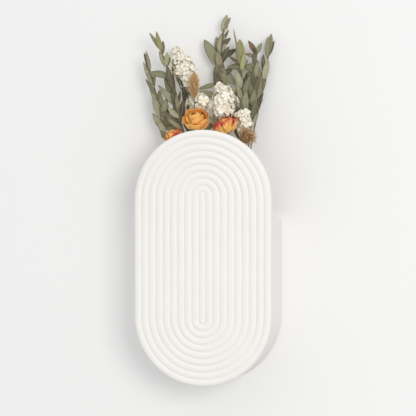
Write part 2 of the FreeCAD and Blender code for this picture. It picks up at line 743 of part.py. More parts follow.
# Rubber band round the stems, just above their feet
stems = [stem_points(sprig) for table in tables for sprig in table.values()]
band_level = max(points[0].z for points in stems) + mm("band_rise")
band_ends = (band_level, band_level + mm("band_height"))
held = [stem_at(points, level) for points in stems for level in band_ends]
reach = stem_radius + mm("band_gap")
low_x, high_x = min(p.x for p in held) - reach, max(p.x for p in held) + reach
low_y, high_y = min(p.y for p in held) - reach, max(p.y for p in held) + reach
band = doc.addObject("Part::Feature", "stem_band")
band.Label = "stem_band"


def band_block(grow, level, tall):
    block = Part.makeBox(
        high_x - low_x + 2 * grow, high_y - low_y + 2 * grow, tall,
        Vector(low_x - grow, low_y - grow, level),
    )
    upright = [edge for edge in block.Edges if edge.BoundBox.ZLength > tiny]
    return block.makeFillet(reach + grow, upright)


outer = band_block(mm("band_thick"), band_level, mm("band_height"))
inner = band_block(0, band_level - mm("overrun"), mm("band_height") + 2 * mm("overrun"))
band.Shape = outer.cut(inner)
band.Placement = FreeCAD.Placement()

doc.recompute()
for thing in doc.Objects:
    if "Invalid" in thing.State or "Error" in thing.State:
        raise RuntimeError(f"{thing.Label} failed: {thing.State}")
pieces = [thing for thing in doc.Objects if thing.TypeId in ("PartDesign::Body", "Part::Feature")]
for piece in pieces:
    if piece.Shape.isNull() or not piece.Shape.isValid():
        raise RuntimeError(f"{piece.Label} has no valid shape")
os.makedirs("parts", exist_ok=True)
for piece in pieces:
    piece.Shape.exportStep(f"parts/{piece.Label}.step")
    print(piece.Label, len(piece.Shape.Solids), round(piece.Shape.Volume))
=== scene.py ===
import bmesh
import bpy
import math
import random
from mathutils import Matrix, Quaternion, Vector, noise


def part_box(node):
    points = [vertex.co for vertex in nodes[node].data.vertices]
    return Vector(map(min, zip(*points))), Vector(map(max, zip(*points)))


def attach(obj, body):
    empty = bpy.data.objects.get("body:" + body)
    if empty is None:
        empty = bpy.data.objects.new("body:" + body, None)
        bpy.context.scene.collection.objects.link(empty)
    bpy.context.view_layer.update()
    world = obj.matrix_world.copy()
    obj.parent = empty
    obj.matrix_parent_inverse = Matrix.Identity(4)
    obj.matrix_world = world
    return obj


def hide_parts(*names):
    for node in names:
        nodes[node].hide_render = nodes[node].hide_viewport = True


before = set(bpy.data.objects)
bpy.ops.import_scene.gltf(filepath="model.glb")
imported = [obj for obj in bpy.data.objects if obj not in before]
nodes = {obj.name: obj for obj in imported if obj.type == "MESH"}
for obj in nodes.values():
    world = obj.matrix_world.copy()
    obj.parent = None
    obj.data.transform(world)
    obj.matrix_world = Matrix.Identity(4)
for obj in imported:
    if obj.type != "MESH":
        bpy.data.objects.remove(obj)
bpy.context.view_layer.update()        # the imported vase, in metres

panelLow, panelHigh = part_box("front_panel")
pocketLow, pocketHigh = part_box("pocket_shell")
panelWidth = panelHigh.x - panelLow.x
panelHalf = panelWidth / 2
arcHigh = panelHigh.z - panelHalf        # centres of the panel's round ends
arcLow = panelLow.z + panelHalf
pocketDepth = pocketHigh.y - pocketLow.y
goldenAngle = math.pi * (3 - math.sqrt(5))
print("frame loaded with", len(nodes), "nodes")


# camera where the photograph was taken from
photoView = {
    "turn": 13.5,            # degrees to the right of straight on
    "distance": 1.5,
    "lens": 159,             # on a sensor of 36
    "sensor": 36,
    "aim": (0.0048, -0.0515, 0.0341),
}


def link(thing):
    bpy.context.scene.collection.objects.link(thing)
    return thing


def placeCamera():
    turn = math.radians(photoView["turn"])
    data = bpy.data.cameras.new("photoCamera")
    data.sensor_width = photoView["sensor"]
    data.lens = photoView["lens"]
    camera = link(bpy.data.objects.new("photoCamera", data))
    away = Vector((math.sin(turn), -math.cos(turn), 0))
    camera.location = Vector(photoView["aim"]) + away * photoView["distance"]
    camera.rotation_euler = (math.pi / 2, 0, turn)
    bpy.context.scene.camera = camera


# short ways to write nodes
def addNode(tree, kind, inputs=None, **settings):
    made = tree.nodes.new("ShaderNode" + kind)
    for key, value in settings.items():
        setattr(made, key, value)
    for socket, value in (inputs or {}).items():
        if isinstance(value, bpy.types.NodeSocket):
            tree.links.new(value, made.inputs[socket])
        else:
            made.inputs[socket].default_value = value
    return made


def maths(tree, operation, first, second=0.0):
    return addNode(tree, "Math", {0: first, 1: second}, operation=operation).outputs[0]


def mixColour(tree, share, first, second):
    mixed = addNode(tree, "Mix", {0: share, 6: first, 7: second}, data_type="RGBA")
    return mixed.outputs[2]        # 6, 7 and 2 are the Mix node's colour sockets


def spanned(tree, value, to, source=(0.0, 1.0)):
    limits = dict(zip(("From Min", "From Max", "To Min", "To Max"), (*source, *to)))
    return addNode(tree, "MapRange", {"Value": value, **limits}).outputs[0]


def colourRamp(tree, value, stops):
    ramp = addNode(tree, "ValToRGB", {0: value})
    points = ramp.color_ramp.elements
    while len(points) < len(stops):
        points.new(0.5)
    for point, (place, colour) in zip(points, stops):
        point.position = place
        point.color = (*colour, 1)
    return ramp.outputs[0]


def noiseValue(tree, where, scale, detail=4.0, rough=0.55):
    sockets = {"Vector": where, "Scale": scale, "Detail": detail, "Roughness": rough}
    return addNode(tree, "TexNoise", sockets).outputs[0]


def mark(tree, name):
    return addNode(tree, "Attribute", attribute_name=name).outputs["Fac"]


def objectPlace(tree):
    return addNode(tree, "TexCoord").outputs["Object"]


def newGroup(name, takes, gives):
    tree = bpy.data.node_groups.new(name, "ShaderNodeTree")
    for label, value in takes.items():
        kind = "NodeSocketColor" if isinstance(value, tuple) else "NodeSocketFloat"
        tree.interface.new_socket(label, in_out="INPUT", socket_type=kind).default_value = value
    for label, kind in gives.items():
        tree.interface.new_socket(label, in_out="OUTPUT", socket_type="NodeSocket" + kind)
    return tree, tree.nodes.new("NodeGroupInput").outputs, tree.nodes.new("NodeGroupOutput").inputs


def useGroup(tree, group, **values):
    return addNode(tree, "Group", values, node_tree=group).outputs


# fine tooth of a fired, moulded or dried surface: two sizes of noise as a height and a mask
toothShape = {
    "coarseDetail": 5.0,
    "fineDetail": 3.0,
    "fineRatio": 3.1,            # how much smaller the fine noise is
    "fineShare": 0.5,
    "maskSpan": (0.35, 0.65),
}


def toothGroup():
    tree, takes, gives = newGroup("fineTooth", {"Scale": 900.0}, {"Height": "Float", "Mask": "Float"})
    where = objectPlace(tree)
    coarse = noiseValue(tree, where, takes["Scale"], toothShape["coarseDetail"])
    fineScale = maths(tree, "MULTIPLY", takes["Scale"], toothShape["fineRatio"])
    fine = noiseValue(tree, where, fineScale, toothShape["fineDetail"])
    height = maths(tree, "ADD", coarse, maths(tree, "MULTIPLY", fine, toothShape["fineShare"]))
    tree.links.new(height, gives["Height"])
    tree.links.new(spanned(tree, coarse, (0.0, 1.0), toothShape["maskSpan"]), gives["Mask"])
    return tree


# cloudy change of a colour towards a second one
mottleShape = {"detail": 5.0, "rough": 0.6, "span": (0.3, 0.7)}


def mottleGroup():
    takes = {"Colour": (0.5, 0.5, 0.5, 1), "Second": (0.4, 0.4, 0.4, 1), "Scale": 40.0, "Amount": 0.5}
    tree, takes, gives = newGroup("mottle", takes, {"Colour": "Color"})
    clouds = noiseValue(tree, objectPlace(tree), takes["Scale"], mottleShape["detail"], mottleShape["rough"])
    share = maths(tree, "MULTIPLY", spanned(tree, clouds, (0.0, 1.0), mottleShape["span"]), takes["Amount"])
    tree.links.new(mixColour(tree, share, takes["Colour"], takes["Second"]), gives["Colour"])
    return tree


# what a leaf or petal carries: a line down its middle, a rim, a tip, side veins and wrinkles
bladeShape = {
    "midribSpan": (0.02, 0.16),      # midrib and rim are shares of the half width, the tip of the length
    "rimSpan": (0.72, 1.05),
    "tipSpan": (0.0, 0.33),
    "veinSlant": 0.22,
    "veinSpan": (0.55, 1.0),
    "veinHeight": 0.35,
    "wear": 0.25,                    # noise moves the rim and the tip by this share either way
    "wearSpan": (0.3, 0.7),
}


def bladeGroup():
    takes = {"Veins": 9.0, "Wrinkle": 700.0, "Reach": 0.28}
    gives = {"Midrib": "Float", "Rim": "Float", "Tip": "Float", "Height": "Float"}
    tree, takes, gives = newGroup("bladeMarks", takes, gives)
    along, aside = mark(tree, "along"), maths(tree, "ABSOLUTE", mark(tree, "across"))
    wrinkles = noiseValue(tree, objectPlace(tree), takes["Wrinkle"])
    worn = spanned(tree, wrinkles, (-bladeShape["wear"], bladeShape["wear"]), bladeShape["wearSpan"])
    midrib = spanned(tree, aside, (1.0, 0.0), bladeShape["midribSpan"])
    rim = spanned(tree, maths(tree, "ADD", aside, worn), (0.0, 1.0), bladeShape["rimSpan"])
    tipStart = maths(tree, "SUBTRACT", 1.0, takes["Reach"])
    pastStart = maths(tree, "SUBTRACT", maths(tree, "ADD", along, worn), tipStart)
    tip = spanned(tree, pastStart, (0.0, 1.0), bladeShape["tipSpan"])
    slanted = maths(tree, "SUBTRACT", along, maths(tree, "MULTIPLY", aside, bladeShape["veinSlant"]))
    turns = maths(tree, "MULTIPLY", slanted, takes["Veins"])
    wave = maths(tree, "SINE", maths(tree, "MULTIPLY", turns, 2 * math.pi))
    veins = spanned(tree, wave, (0.0, bladeShape["veinHeight"]), bladeShape["veinSpan"])
    height = maths(tree, "ADD", maths(tree, "ADD", veins, worn), midrib)
    for label, value in (("Midrib", midrib), ("Rim", rim), ("Tip", tip), ("Height", height)):
        tree.links.new(value, gives[label])
    return tree


fineTooth, mottle, bladeMarks = toothGroup(), mottleGroup(), bladeGroup()


def newMaterial(name):
    material = bpy.data.materials.new(name)
    material.use_nodes = True
    material.node_tree.nodes.clear()
    return material, material.node_tree


# a Principled surface; bump is (strength, distance), plain holds sockets with one value
def finishSurface(tree, colour, rough, height, bump, plain):
    strength, distance = bump
    raised = addNode(tree, "Bump", {"Height": height, "Strength": strength, "Distance": distance})
    sockets = {"Base Color": colour, "Roughness": rough, "Normal": raised.outputs[0], **plain}
    shader = addNode(tree, "BsdfPrincipled", sockets)
    addNode(tree, "OutputMaterial", {"Surface": shader.outputs[0]})


# clouded, with a fine tooth: metal, plastic, rubber, bark
def toothedFinish(name, look):
    material, tree = newMaterial(name)
    clouds = useGroup(
        tree, mottle, Colour=look["colour"], Second=look["second"],
        Scale=look["cloudScale"], Amount=look["cloudShare"])
    tooth = useGroup(tree, fineTooth, Scale=look["toothScale"])
    rough = spanned(tree, tooth["Mask"], look["rough"])
    finishSurface(tree, clouds["Colour"], rough, tooth["Height"], look["bump"], look.get("plain", {}))
    return material


# wall, floor and light: plain and pale
stage = {
    "wall": (0.90, 0.90, 0.90, 1),
    "floor": (0.82, 0.82, 0.815, 1),
    "reach": 5.0,
    "gap": 0.0003,                  # the wall stands this far behind the bumpers
    "drop": 0.75,                   # the floor is this far below the wall screw
    "backdrop": (0.87, 0.87, 0.87, 1),
    "mirrorFrom": 0.06,             # metal nearer to the wall than this mirrors the room instead
    "sky": [(0.0, (0.53, 0.53, 0.53)), (0.5, (0.765, 0.765, 0.765)), (1.0, (0.91, 0.91, 0.915))],
    "keyPower": 15.0,
    "keySize": 0.8,
    "keyDistance": 2.2,
    "keyTurn": 30,                  # degrees to the right
    "keyRise": 8,                   # degrees up
    "keyColour": (1.0, 0.985, 0.96),
}


# 1 for what the camera sees, straight or mirrored, and 0 for light on its way
def seenByEye(tree, nearest=None):
    path = addNode(tree, "LightPath").outputs
    mirrored = maths(tree, "ADD", path["Is Glossy Ray"], path["Is Transmission Ray"])
    if nearest:
        far = maths(tree, "GREATER_THAN", path["Ray Length"], nearest)
        mirrored = maths(tree, "MULTIPLY", mirrored, far)
    return maths(tree, "MINIMUM", maths(tree, "ADD", path["Is Camera Ray"], mirrored), 1.0)


# shows from its front only, so the back of the vase can be looked at through the wall
def stageMaterial(name, colour):
    material, tree = newMaterial(name)
    front = maths(tree, "SUBTRACT", 1.0, addNode(tree, "NewGeometry").outputs["Backfacing"])
    shows = maths(tree, "MULTIPLY", seenByEye(tree, stage["mirrorFrom"]), front)
    paint = addNode(tree, "BsdfDiffuse", {"Color": colour})
    clear = addNode(tree, "BsdfTransparent")
    mixed = addNode(tree, "MixShader", {0: shows, 1: clear.outputs[0], 2: paint.outputs[0]})
    addNode(tree, "OutputMaterial", {"Surface": mixed.outputs[0]})
    return material


def addStagePlane(name, corners, colour):
    mesh = bpy.data.meshes.new(name)
    mesh.from_pydata(corners, [], [(0, 1, 2, 3)])
    mesh.materials.append(stageMaterial(name, colour))
    link(bpy.data.objects.new(name, mesh))


def addRoomLight():
    world = bpy.data.worlds.new("softRoom")
    world.use_nodes = True
    tree = world.node_tree
    tree.nodes.clear()
    up = addNode(tree, "SeparateXYZ", {0: addNode(tree, "TexCoord").outputs["Generated"]}).outputs["Z"]
    sky = colourRamp(tree, spanned(tree, up, (0.0, 1.0), (-1.0, 1.0)), stage["sky"])
    light = addNode(tree, "Background", {"Color": sky, "Strength": 1.0})
    seen = addNode(tree, "Background", {"Color": stage["backdrop"], "Strength": 1.0})
    mixed = addNode(tree, "MixShader", {0: seenByEye(tree), 1: light.outputs[0], 2: seen.outputs[0]})
    addNode(tree, "OutputWorld", {"Surface": mixed.outputs[0]})
    bpy.context.scene.world = world


def addKeyLamp():
    lamp = bpy.data.lights.new("keyLamp", "AREA")
    lamp.energy = stage["keyPower"]
    lamp.size = stage["keySize"]
    lamp.color = stage["keyColour"]
    key = link(bpy.data.objects.new("keyLamp", lamp))
    turn, rise = math.radians(stage["keyTurn"]), math.radians(stage["keyRise"])
    way = Vector((math.sin(turn) * math.cos(rise), -math.cos(turn) * math.cos(rise), math.sin(rise)))
    key.location = way * stage["keyDistance"]
    key.rotation_euler = way.to_track_quat("Z", "Y").to_euler()


def buildStage():
    reach, back, low = stage["reach"], stage["gap"], -stage["drop"]
    wall = [(-reach, back, low), (reach, back, low), (reach, back, reach), (-reach, back, reach)]
    floor = [(-reach, -reach, low), (reach, -reach, low), (reach, back, low), (-reach, back, low)]
    addStagePlane("paleWall", wall, stage["wall"])
    addStagePlane("paleFloor", floor, stage["floor"])
    addRoomLight()
    addKeyLamp()


placeCamera()
buildStage()
bpy.context.scene.view_settings.view_transform = "Standard"
print("camera, wall and light placed")


# a book collects the corners, faces and marks of one piece before its mesh is made
markNames = ("tone", "along", "across", "under", "groove")
bladeSlot, stemSlot, heartSlot, leafSlot, seedSlot = range(5)        # materials of a plant piece, in order


def newBook():
    return {"verts": [], "faces": [], "slots": [], **{name: [] for name in markNames}}


def addVert(book, place, **marks):
    book["verts"].append(tuple(place))
    for name in markNames:
        book[name].append(marks.get(name, 0.0))
    return len(book["verts"]) - 1


def addFace(book, corners, slot=0):
    book["faces"].append(tuple(corners))
    book["slots"].append(slot)


# joins two rings of corners, either of which may be a single point
def joinRings(book, first, second, slot):
    count = max(len(first), len(second))
    for index in range(count):
        after = (index + 1) % count
        corners = [first[index % len(first)], first[after % len(first)]]
        corners += [second[after % len(second)], second[index % len(second)]]
        addFace(book, dict.fromkeys(corners), slot)


def skinRings(book, rings, slot=0):
    for first, second in zip(rings, rings[1:]):
        joinRings(book, first, second, slot)


def capEnds(book, rings, slot=0):
    for ring in (rings[0][::-1], rings[-1]):
        if len(ring) > 1:
            addFace(book, ring, slot)


def addRing(book, centre, side, other, radius, sides):
    ring = []
    for turn in range(sides if radius > 0 else 1):
        angle = 2 * math.pi * turn / sides
        out = side * math.cos(angle) + other * math.sin(angle)
        ring.append(addVert(book, centre + out * radius))
    return ring


def addTube(book, spots, radii, slot, sides):
    rings = []
    side = None
    for index, spot in enumerate(spots):
        ahead = (spots[min(index + 1, len(spots) - 1)] - spots[max(index - 1, 0)]).normalized()
        side = ahead.orthogonal() if side is None else side - ahead * side.dot(ahead)
        side.normalize()
        rings.append(addRing(book, spot, side, ahead.cross(side), radii[index], sides))
    skinRings(book, rings, slot)
    capEnds(book, rings, slot)


# a turned form: the profile is (distance from the axis, distance along it)
def addTurned(book, base, axis, profile, slot, sides):
    side = axis.orthogonal().normalized()
    other = axis.cross(side)
    rings = [addRing(book, base + axis * level, side, other, radius, sides) for radius, level in profile]
    skinRings(book, rings, slot)
    capEnds(book, rings, slot)


# a closed core of a head, pointed at both ends
def spindle(length, steps, radiusAt):
    inner = [(radiusAt(step / steps), length * step / steps) for step in range(1, steps)]
    return [(0.0, 0.0), *inner, (0.0, length)]


# draws a blade's form: a pair of numbers is a range, and scales are put on afterwards
def drawForm(ranges, rng, **scales):
    form = {key: rng.uniform(*value) if isinstance(value, tuple) else value for key, value in ranges.items()}
    for key, scale in scales.items():
        form[key] *= scale
    return form


# the two sides of a blade, and blades of another tone, ruffle out of step by these
ruffleShift = {"side": 2, "tone": 9}


# a thin closed blade: leaf, petal or bract. Its form says how it folds, bends, twists and ruffles
def addBlade(book, base, heading, side, form, slot, tone):
    rows, cols = form["rows"], form["cols"]
    heading, side, centre = heading.normalized(), side.normalized(), base.copy()
    fold, waves = math.radians(form.get("fold", 0)), form.get("waves", 0)
    rings = []
    for row in range(rows):
        along = row / rows
        half = form["width"] / 2 * form["outline"](along)
        normal = side.cross(heading)
        ring = []
        for index in range(4 * cols):
            face = 1 if index <= 2 * cols else -1       # over the top, then back along the underside
            across = index / cols - 1 if face > 0 else 3 - index / cols
            step = (across > 0) * ruffleShift["side"] + tone * ruffleShift["tone"]
            ruffle = form.get("ruffle", 0) * math.sin(waves * along * 2 * math.pi + step)
            lift = abs(across) * half * (math.sin(fold) + ruffle)
            bulge = form["thick"] / 2 * (1 - across * across) * face
            place = centre + side * (across * half * math.cos(fold)) + normal * (lift + bulge)
            under = (1 - face) / 2 if abs(across) < 1 else 0.5
            ring.append(addVert(book, place, tone=tone, along=along, across=across, under=under))
        rings.append(ring)
        heading.rotate(Quaternion(side, math.radians(form.get("bend", 0)) / rows))
        side.rotate(Quaternion(heading, math.radians(form.get("twist", 0)) / rows))
        centre = centre + heading * (form["length"] / rows)
    rings.append([addVert(book, centre, tone=tone, along=1.0, under=0.5)])
    skinRings(book, rings, slot)
    capEnds(book, rings, slot)


def makePiece(name, book, materials, weld=0.0):
    mesh = bpy.data.meshes.new(name)
    mesh.from_pydata(book["verts"], [], book["faces"])
    mesh.polygons.foreach_set("material_index", book["slots"])
    mesh.polygons.foreach_set("use_smooth", [True] * len(book["faces"]))
    for label in markNames:
        mesh.attributes.new(label, "FLOAT", "POINT").data.foreach_set("value", book[label])
    shaped = bmesh.new()
    shaped.from_mesh(mesh)
    if weld:
        bmesh.ops.remove_doubles(shaped, verts=shaped.verts, dist=weld)
    bmesh.ops.recalc_face_normals(shaped, faces=shaped.faces)
    shaped.to_mesh(mesh)
    shaped.free()
    for material in materials:
        mesh.materials.append(material)
    return link(bpy.data.objects.new(name, mesh))


def dressNode(piece, node, body):
    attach(piece, body)
    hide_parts(node)


def refinish(node, material):
    for holder in nodes[node].material_slots:
        holder.material = material


# matte white ceramic
ceramic = {
    "body": (0.885, 0.872, 0.842, 1),
    "warm": (0.845, 0.822, 0.778, 1),
    "cloudScale": 28.0,
    "cloudShare": 0.35,
    # painted shade: the grooves are coloured darker and warmer
    "groove": (0.80, 0.775, 0.73, 1),
    "grooveShare": 0.7,
    "speck": (0.62, 0.57, 0.50, 1),
    "speckShare": 0.6,
    "pinholeScale": 210.0,
    "pinholeSpan": (0.035, 0.07),
    "pinholeRarity": 0.86,           # this share of the cells has no pinhole
    "pinholeDepth": 2.0,
    "toothScale": 1100.0,
    "rough": (0.58, 0.74),
    "bump": (0.22, 0.00012),
    "plain": {"Specular IOR Level": 0.32},
}


def ceramicFinish():
    material, tree = newMaterial("matteCeramic")
    clouds = useGroup(
        tree, mottle, Colour=ceramic["body"], Second=ceramic["warm"],
        Scale=ceramic["cloudScale"], Amount=ceramic["cloudShare"])
    tooth = useGroup(tree, fineTooth, Scale=ceramic["toothScale"])
    pits = addNode(tree, "TexVoronoi", {"Vector": objectPlace(tree), "Scale": ceramic["pinholeScale"]})
    pit = spanned(tree, pits.outputs["Distance"], (1.0, 0.0), ceramic["pinholeSpan"])
    chance = addNode(tree, "SeparateColor", {0: pits.outputs["Color"]}).outputs[0]
    pinhole = maths(tree, "MULTIPLY", pit, maths(tree, "GREATER_THAN", chance, ceramic["pinholeRarity"]))
    # painted shade in the grooves, carried by the groove mark
    grooveShadeAmount = maths(tree, "MULTIPLY", mark(tree, "groove"), ceramic["grooveShare"])
    colour = mixColour(tree, grooveShadeAmount, clouds["Colour"], ceramic["groove"])
    speck = maths(tree, "MULTIPLY", pinhole, ceramic["speckShare"])
    colour = mixColour(tree, speck, colour, ceramic["speck"])
    rough = spanned(tree, tooth["Mask"], ceramic["rough"])
    dip = maths(tree, "MULTIPLY", pinhole, ceramic["pinholeDepth"])
    height = maths(tree, "SUBTRACT", tooth["Height"], dip)
    finishSurface(tree, colour, rough, height, ceramic["bump"], ceramic["plain"])
    return material


matteCeramic = ceramicFinish()

# front panel: a tall plate with round ends, ribs all round a bar in its middle
panel = {
    "ribRings": 9,
    "barHalf": 0.00265,
    "edgeDrop": 0.0018,           # how far the last rib falls away at the panel's edge
    "edgeFullness": 2,
    "grooveDepth": 0.0013,
    "ribFullness": 2.9,           # 2 is a round rib, more is a flatter one with narrow grooves
    "grooveRound": 0.00014,
    "grooveMark": 0.4,            # the painted groove shade reaches up this share of its depth
    "innerStretch": 0.085,        # the bar and the inner ribs reach further up and down by this share
    "stepsAcrossRib": 12,
    "arcSteps": 64,
    "straightSteps": 34,
    "edgeRound": 0.0008,
    "sideShares": (0.3, 0.6, 1.0),
    "roundShares": (0.3, 0.7, 1.0),
    "backShares": (0.96, 0.8, 0.6, 0.4, 0.2, 0.0),
    "handWave": 0.00028,          # how far the ribs wander, as made by hand
    "waveScale": 34,
    "waveFineScale": 80,
    "waveFineShare": 0.5,
    "wavePlace": (3, 1, 7),       # where in the noise the wander is read
    "calmMiddle": 0.01,           # the ribs wander less this near to the middle and to the edge
    "calmEdge": 0.005,
    "edgeWave": 0.25,
    "handDent": 0.00014,
    "dentScale": 55,
    "dentPlace": (9, 4, 2),
    "grooveFill": 0.45,           # the most that glaze fills a groove
    "fillScales": (26, 17),       # across and up
    "fillPlace": 5,
    "fillFineScale": 70,
    "fillFineShare": 0.4,
    "fillMean": 0.5,
    "tongueWidth": 0.002,         # rib on the back that fits inside the pocket
    "tongueHeight": 0.003,
    "tongueOut": 0.0533,
    "tongueDrop": 0.006,
    "tongueSink": 0.1,            # share of its height that sits in the panel
    "tongueShares": [(0, 0), (0, 0.9), (0.15, 1.1), (0.85, 1.1), (1, 0.9), (1, 0)],
    "weld": 1e-7,
}


# the round-ended loop: a level on the middle line and a direction away from it, for each step
def panelLoop():
    arcs, straights = panel["arcSteps"], panel["straightSteps"]
    loop = []
    for level, start in ((arcLow, math.pi), (arcHigh, 0)):
        for step in range(arcs):
            angle = start + math.pi * step / arcs
            loop.append((level, math.cos(angle), math.sin(angle)))
        span = (arcHigh - arcLow) * (1 if start else -1)
        for step in range(straights):
            loop.append((level + span * step / straights, 1 if start else -1, 0))
    return loop


# rows of the ribbed front: distance from the middle line, depth, and a mark that is 1 in the grooves, where
# shade is painted
def ribRows():
    pitch = (panelHalf - panel["barHalf"]) / panel["ribRings"]
    steps = panel["stepsAcrossRib"]
    rows = []
    for ring in range(-1, panel["ribRings"]):
        for index in range(steps // 2 if ring < 0 else 1, steps + 1):
            share = math.sin(math.pi * (index / steps - 0.5))         # closer steps beside the grooves
            atEdge = ring == panel["ribRings"] - 1 and share > 0
            deep = panel["edgeDrop"] if atEdge else panel["grooveDepth"]
            rise = deep * (1 - abs(share) ** panel["edgeFullness" if atEdge else "ribFullness"])
            if ring < 0:
                out = share * panel["barHalf"]
            else:
                out = panel["barHalf"] + (ring + 0.5 + share / 2) * pitch
            depth = panelLow.y + deep - math.hypot(rise, panel["grooveRound"])
            rows.append((out, depth, max(0.0, 1 - rise / (panel["grooveMark"] * deep))))
    return rows


# rows of the plain side, the rounded edge and the back
def plainRows(side, back):
    edge = panel["edgeRound"]
    rows = [(panelHalf, side + (back - edge - side) * share, 0) for share in panel["sideShares"]]
    for share in panel["roundShares"]:
        turn = share * math.pi / 2
        rows.append((panelHalf - edge * (1 - math.cos(turn)), back - edge + edge * math.sin(turn), 0))
    return rows + [(panelHalf * share, back, 0) for share in panel["backShares"]]


def ribWander(place, out):
    fromMiddle, fromEdge = out / panel["calmMiddle"], (panelHalf - out) / panel["calmEdge"]
    calm = min(1, fromMiddle) * min(1, fromEdge + panel["edgeWave"])
    broad = noise.noise(place * panel["waveScale"] + Vector(panel["wavePlace"]))
    fine = panel["waveFineShare"] * noise.noise(place * panel["waveFineScale"])
    return (broad + fine) * panel["handWave"] * calm


def glazeFill(place):
    acrossScale, upScale = panel["fillScales"]
    broad = noise.noise(Vector((place.x * acrossScale, panel["fillPlace"], place.z * upScale)))
    cloud = broad + panel["fillFineShare"] * noise.noise(place * panel["fillFineScale"])
    return panel["grooveFill"] * min(1, max(0, panel["fillMean"] + cloud))


def buildPanel():
    book = newBook()
    loop, back, edge = panelLoop(), pocketLow.y, panel["edgeRound"]
    rows = ribRows()
    rows += plainRows(rows[-1][1], back)
    middle = (arcLow + arcHigh) / 2
    rings = []
    for out, depth, groove in rows:
        stretch = 1 + panel["innerStretch"] * (1 - out / panelHalf)
        onFront = depth < back - edge
        ring = []
        for loopLevel, across, up in loop:
            level = middle + (loopLevel - middle) * stretch
            place = Vector((out * across, 0, level + out * up))
            dent = noise.noise(place * panel["dentScale"] + Vector(panel["dentPlace"])) * panel["handDent"]
            reach = out + ribWander(place, out)
            filled = glazeFill(place) * (out < panelHalf - edge)
            front = depth - filled * max(0, depth - panelLow.y) * onFront
            made = (reach * across, front + dent * onFront, level + reach * up)
            # the groove mark for painted shade is weaker where glaze fills the groove
            ring.append(addVert(book, made, groove=groove * (1 - filled)))
        rings.append(ring)
    skinRings(book, rings)
    addTongue(book)
    return makePiece("ribbedPanel", book, [matteCeramic], weld=panel["weld"])


# the tongue runs down one side, round the bottom and up the other, sunk a little into the panel's back
def addTongue(book):
    wide, tall, out = panel["tongueWidth"], panel["tongueHeight"], panel["tongueOut"]
    top = pocketHigh.z - panel["tongueDrop"]
    sunk = pocketLow.y - tall * panel["tongueSink"]
    spine = [(top, -1, 0)]
    for step in range(panel["arcSteps"] + 1):
        angle = math.pi + math.pi * step / panel["arcSteps"]
        spine.append((arcLow, math.cos(angle), math.sin(angle)))
    spine.append((top, 1, 0))
    rings = []
    for level, across, up in spine:
        ring = []
        for inward, high in panel["tongueShares"]:
            reach = out - wide * inward
            ring.append(addVert(book, (reach * across, sunk + tall * high, level + reach * up)))
        rings.append(ring)
    skinRings(book, rings)
    capEnds(book, rings)


dressNode(buildPanel(), "front_panel", "vase")
refinish("pocket_shell", matteCeramic)
print("ceramic panel and pocket done")


# small hardware keeps its solids and gets its own finish
screwSteel = {
    "colour": (0.62, 0.60, 0.54, 1), "second": (0.50, 0.47, 0.40, 1),
    "cloudScale": 250.0, "cloudShare": 0.7, "toothScale": 1500.0,
    "rough": (0.24, 0.40), "bump": (0.10, 0.00008), "plain": {"Metallic": 1.0},
}
hardware = {
    "keyhole_plate": {
        "colour": (0.60, 0.61, 0.62, 1), "second": (0.47, 0.48, 0.50, 1),
        "cloudScale": 116.667, "cloudShare": 0.7, "toothScale": 700.0,
        "rough": (0.28, 0.46), "bump": (0.12, 0.00008), "plain": {"Metallic": 1.0},
    },
    "hanger_screws": screwSteel,
    "wall_screw": screwSteel,
    "wall_plug": {
        "colour": (0.42, 0.44, 0.46, 1), "second": (0.35, 0.37, 0.39, 1),
        "cloudScale": 200.0, "cloudShare": 0.7, "toothScale": 1200.0,
        "rough": (0.42, 0.58), "bump": (0.2, 0.00008),
    },
    "wall_bumpers": {
        "colour": (0.74, 0.74, 0.73, 1), "second": (0.66, 0.66, 0.64, 1),
        "cloudScale": 150.0, "cloudShare": 0.7, "toothScale": 900.0,
        "rough": (0.5, 0.7), "bump": (0.25, 0.00008),
    },
}
for nodeName, look in hardware.items():
    refinish(nodeName, toothedFinish(nodeName + "Finish", look))
print("hardware finished")


# dried plant finishes; colours are as lit by white light
driedLook = {
    "tones": [
        (0.00, (0.045, 0.034, 0.020)),      # nearly black: dark dried leaves, and painted shade where the bunch lies in shadow
        (0.18, (0.125, 0.100, 0.056)),      # dark olive brown
        (0.38, (0.215, 0.212, 0.120)),      # grey-green
        (0.54, (0.325, 0.318, 0.192)),      # sage
        (0.68, (0.450, 0.440, 0.292)),      # pale sage
        (0.80, (0.340, 0.330, 0.115)),      # olive
        (0.89, (0.330, 0.285, 0.205)),      # beige
        (1.00, (0.175, 0.083, 0.040)),      # brown
    ],
    "under": (0.36, 0.37, 0.29, 1),
    "underShare": 0.35,
    "cloud": (0.30, 0.29, 0.20, 1),
    "cloudScale": 260.0,
    "cloudShare": 0.30,
    "marks": {                              # how strongly each shows, and its colour
        "Midrib": (0.45, (0.40, 0.39, 0.26, 1)),
        "Rim": (0.35, (0.17, 0.13, 0.075, 1)),
        "Tip": (0.35, (0.16, 0.10, 0.055, 1)),
    },
    "veins": 8.0,
    "wrinkle": 420.0,
    "rough": (0.62, 0.82),
    "bump": (0.5, 0.0002),
    "plain": {"Specular IOR Level": 0.3},
}


def leafFinish(look):
    material, tree = newMaterial("driedLeaf")
    marks = useGroup(tree, bladeMarks, Veins=look["veins"], Wrinkle=look["wrinkle"])
    skin = colourRamp(tree, mark(tree, "tone"), look["tones"])
    pale = mixColour(tree, look["underShare"], skin, look["under"])
    skin = mixColour(tree, mark(tree, "under"), skin, pale)
    clouds = useGroup(
        tree, mottle, Colour=skin, Second=look["cloud"], Scale=look["cloudScale"], Amount=look["cloudShare"])
    skin = clouds["Colour"]
    for label, (share, colour) in look["marks"].items():
        skin = mixColour(tree, maths(tree, "MULTIPLY", marks[label], share), skin, colour)
    rough = spanned(tree, marks["Height"], look["rough"])
    finishSurface(tree, skin, rough, marks["Height"], look["bump"], look["plain"])
    return material


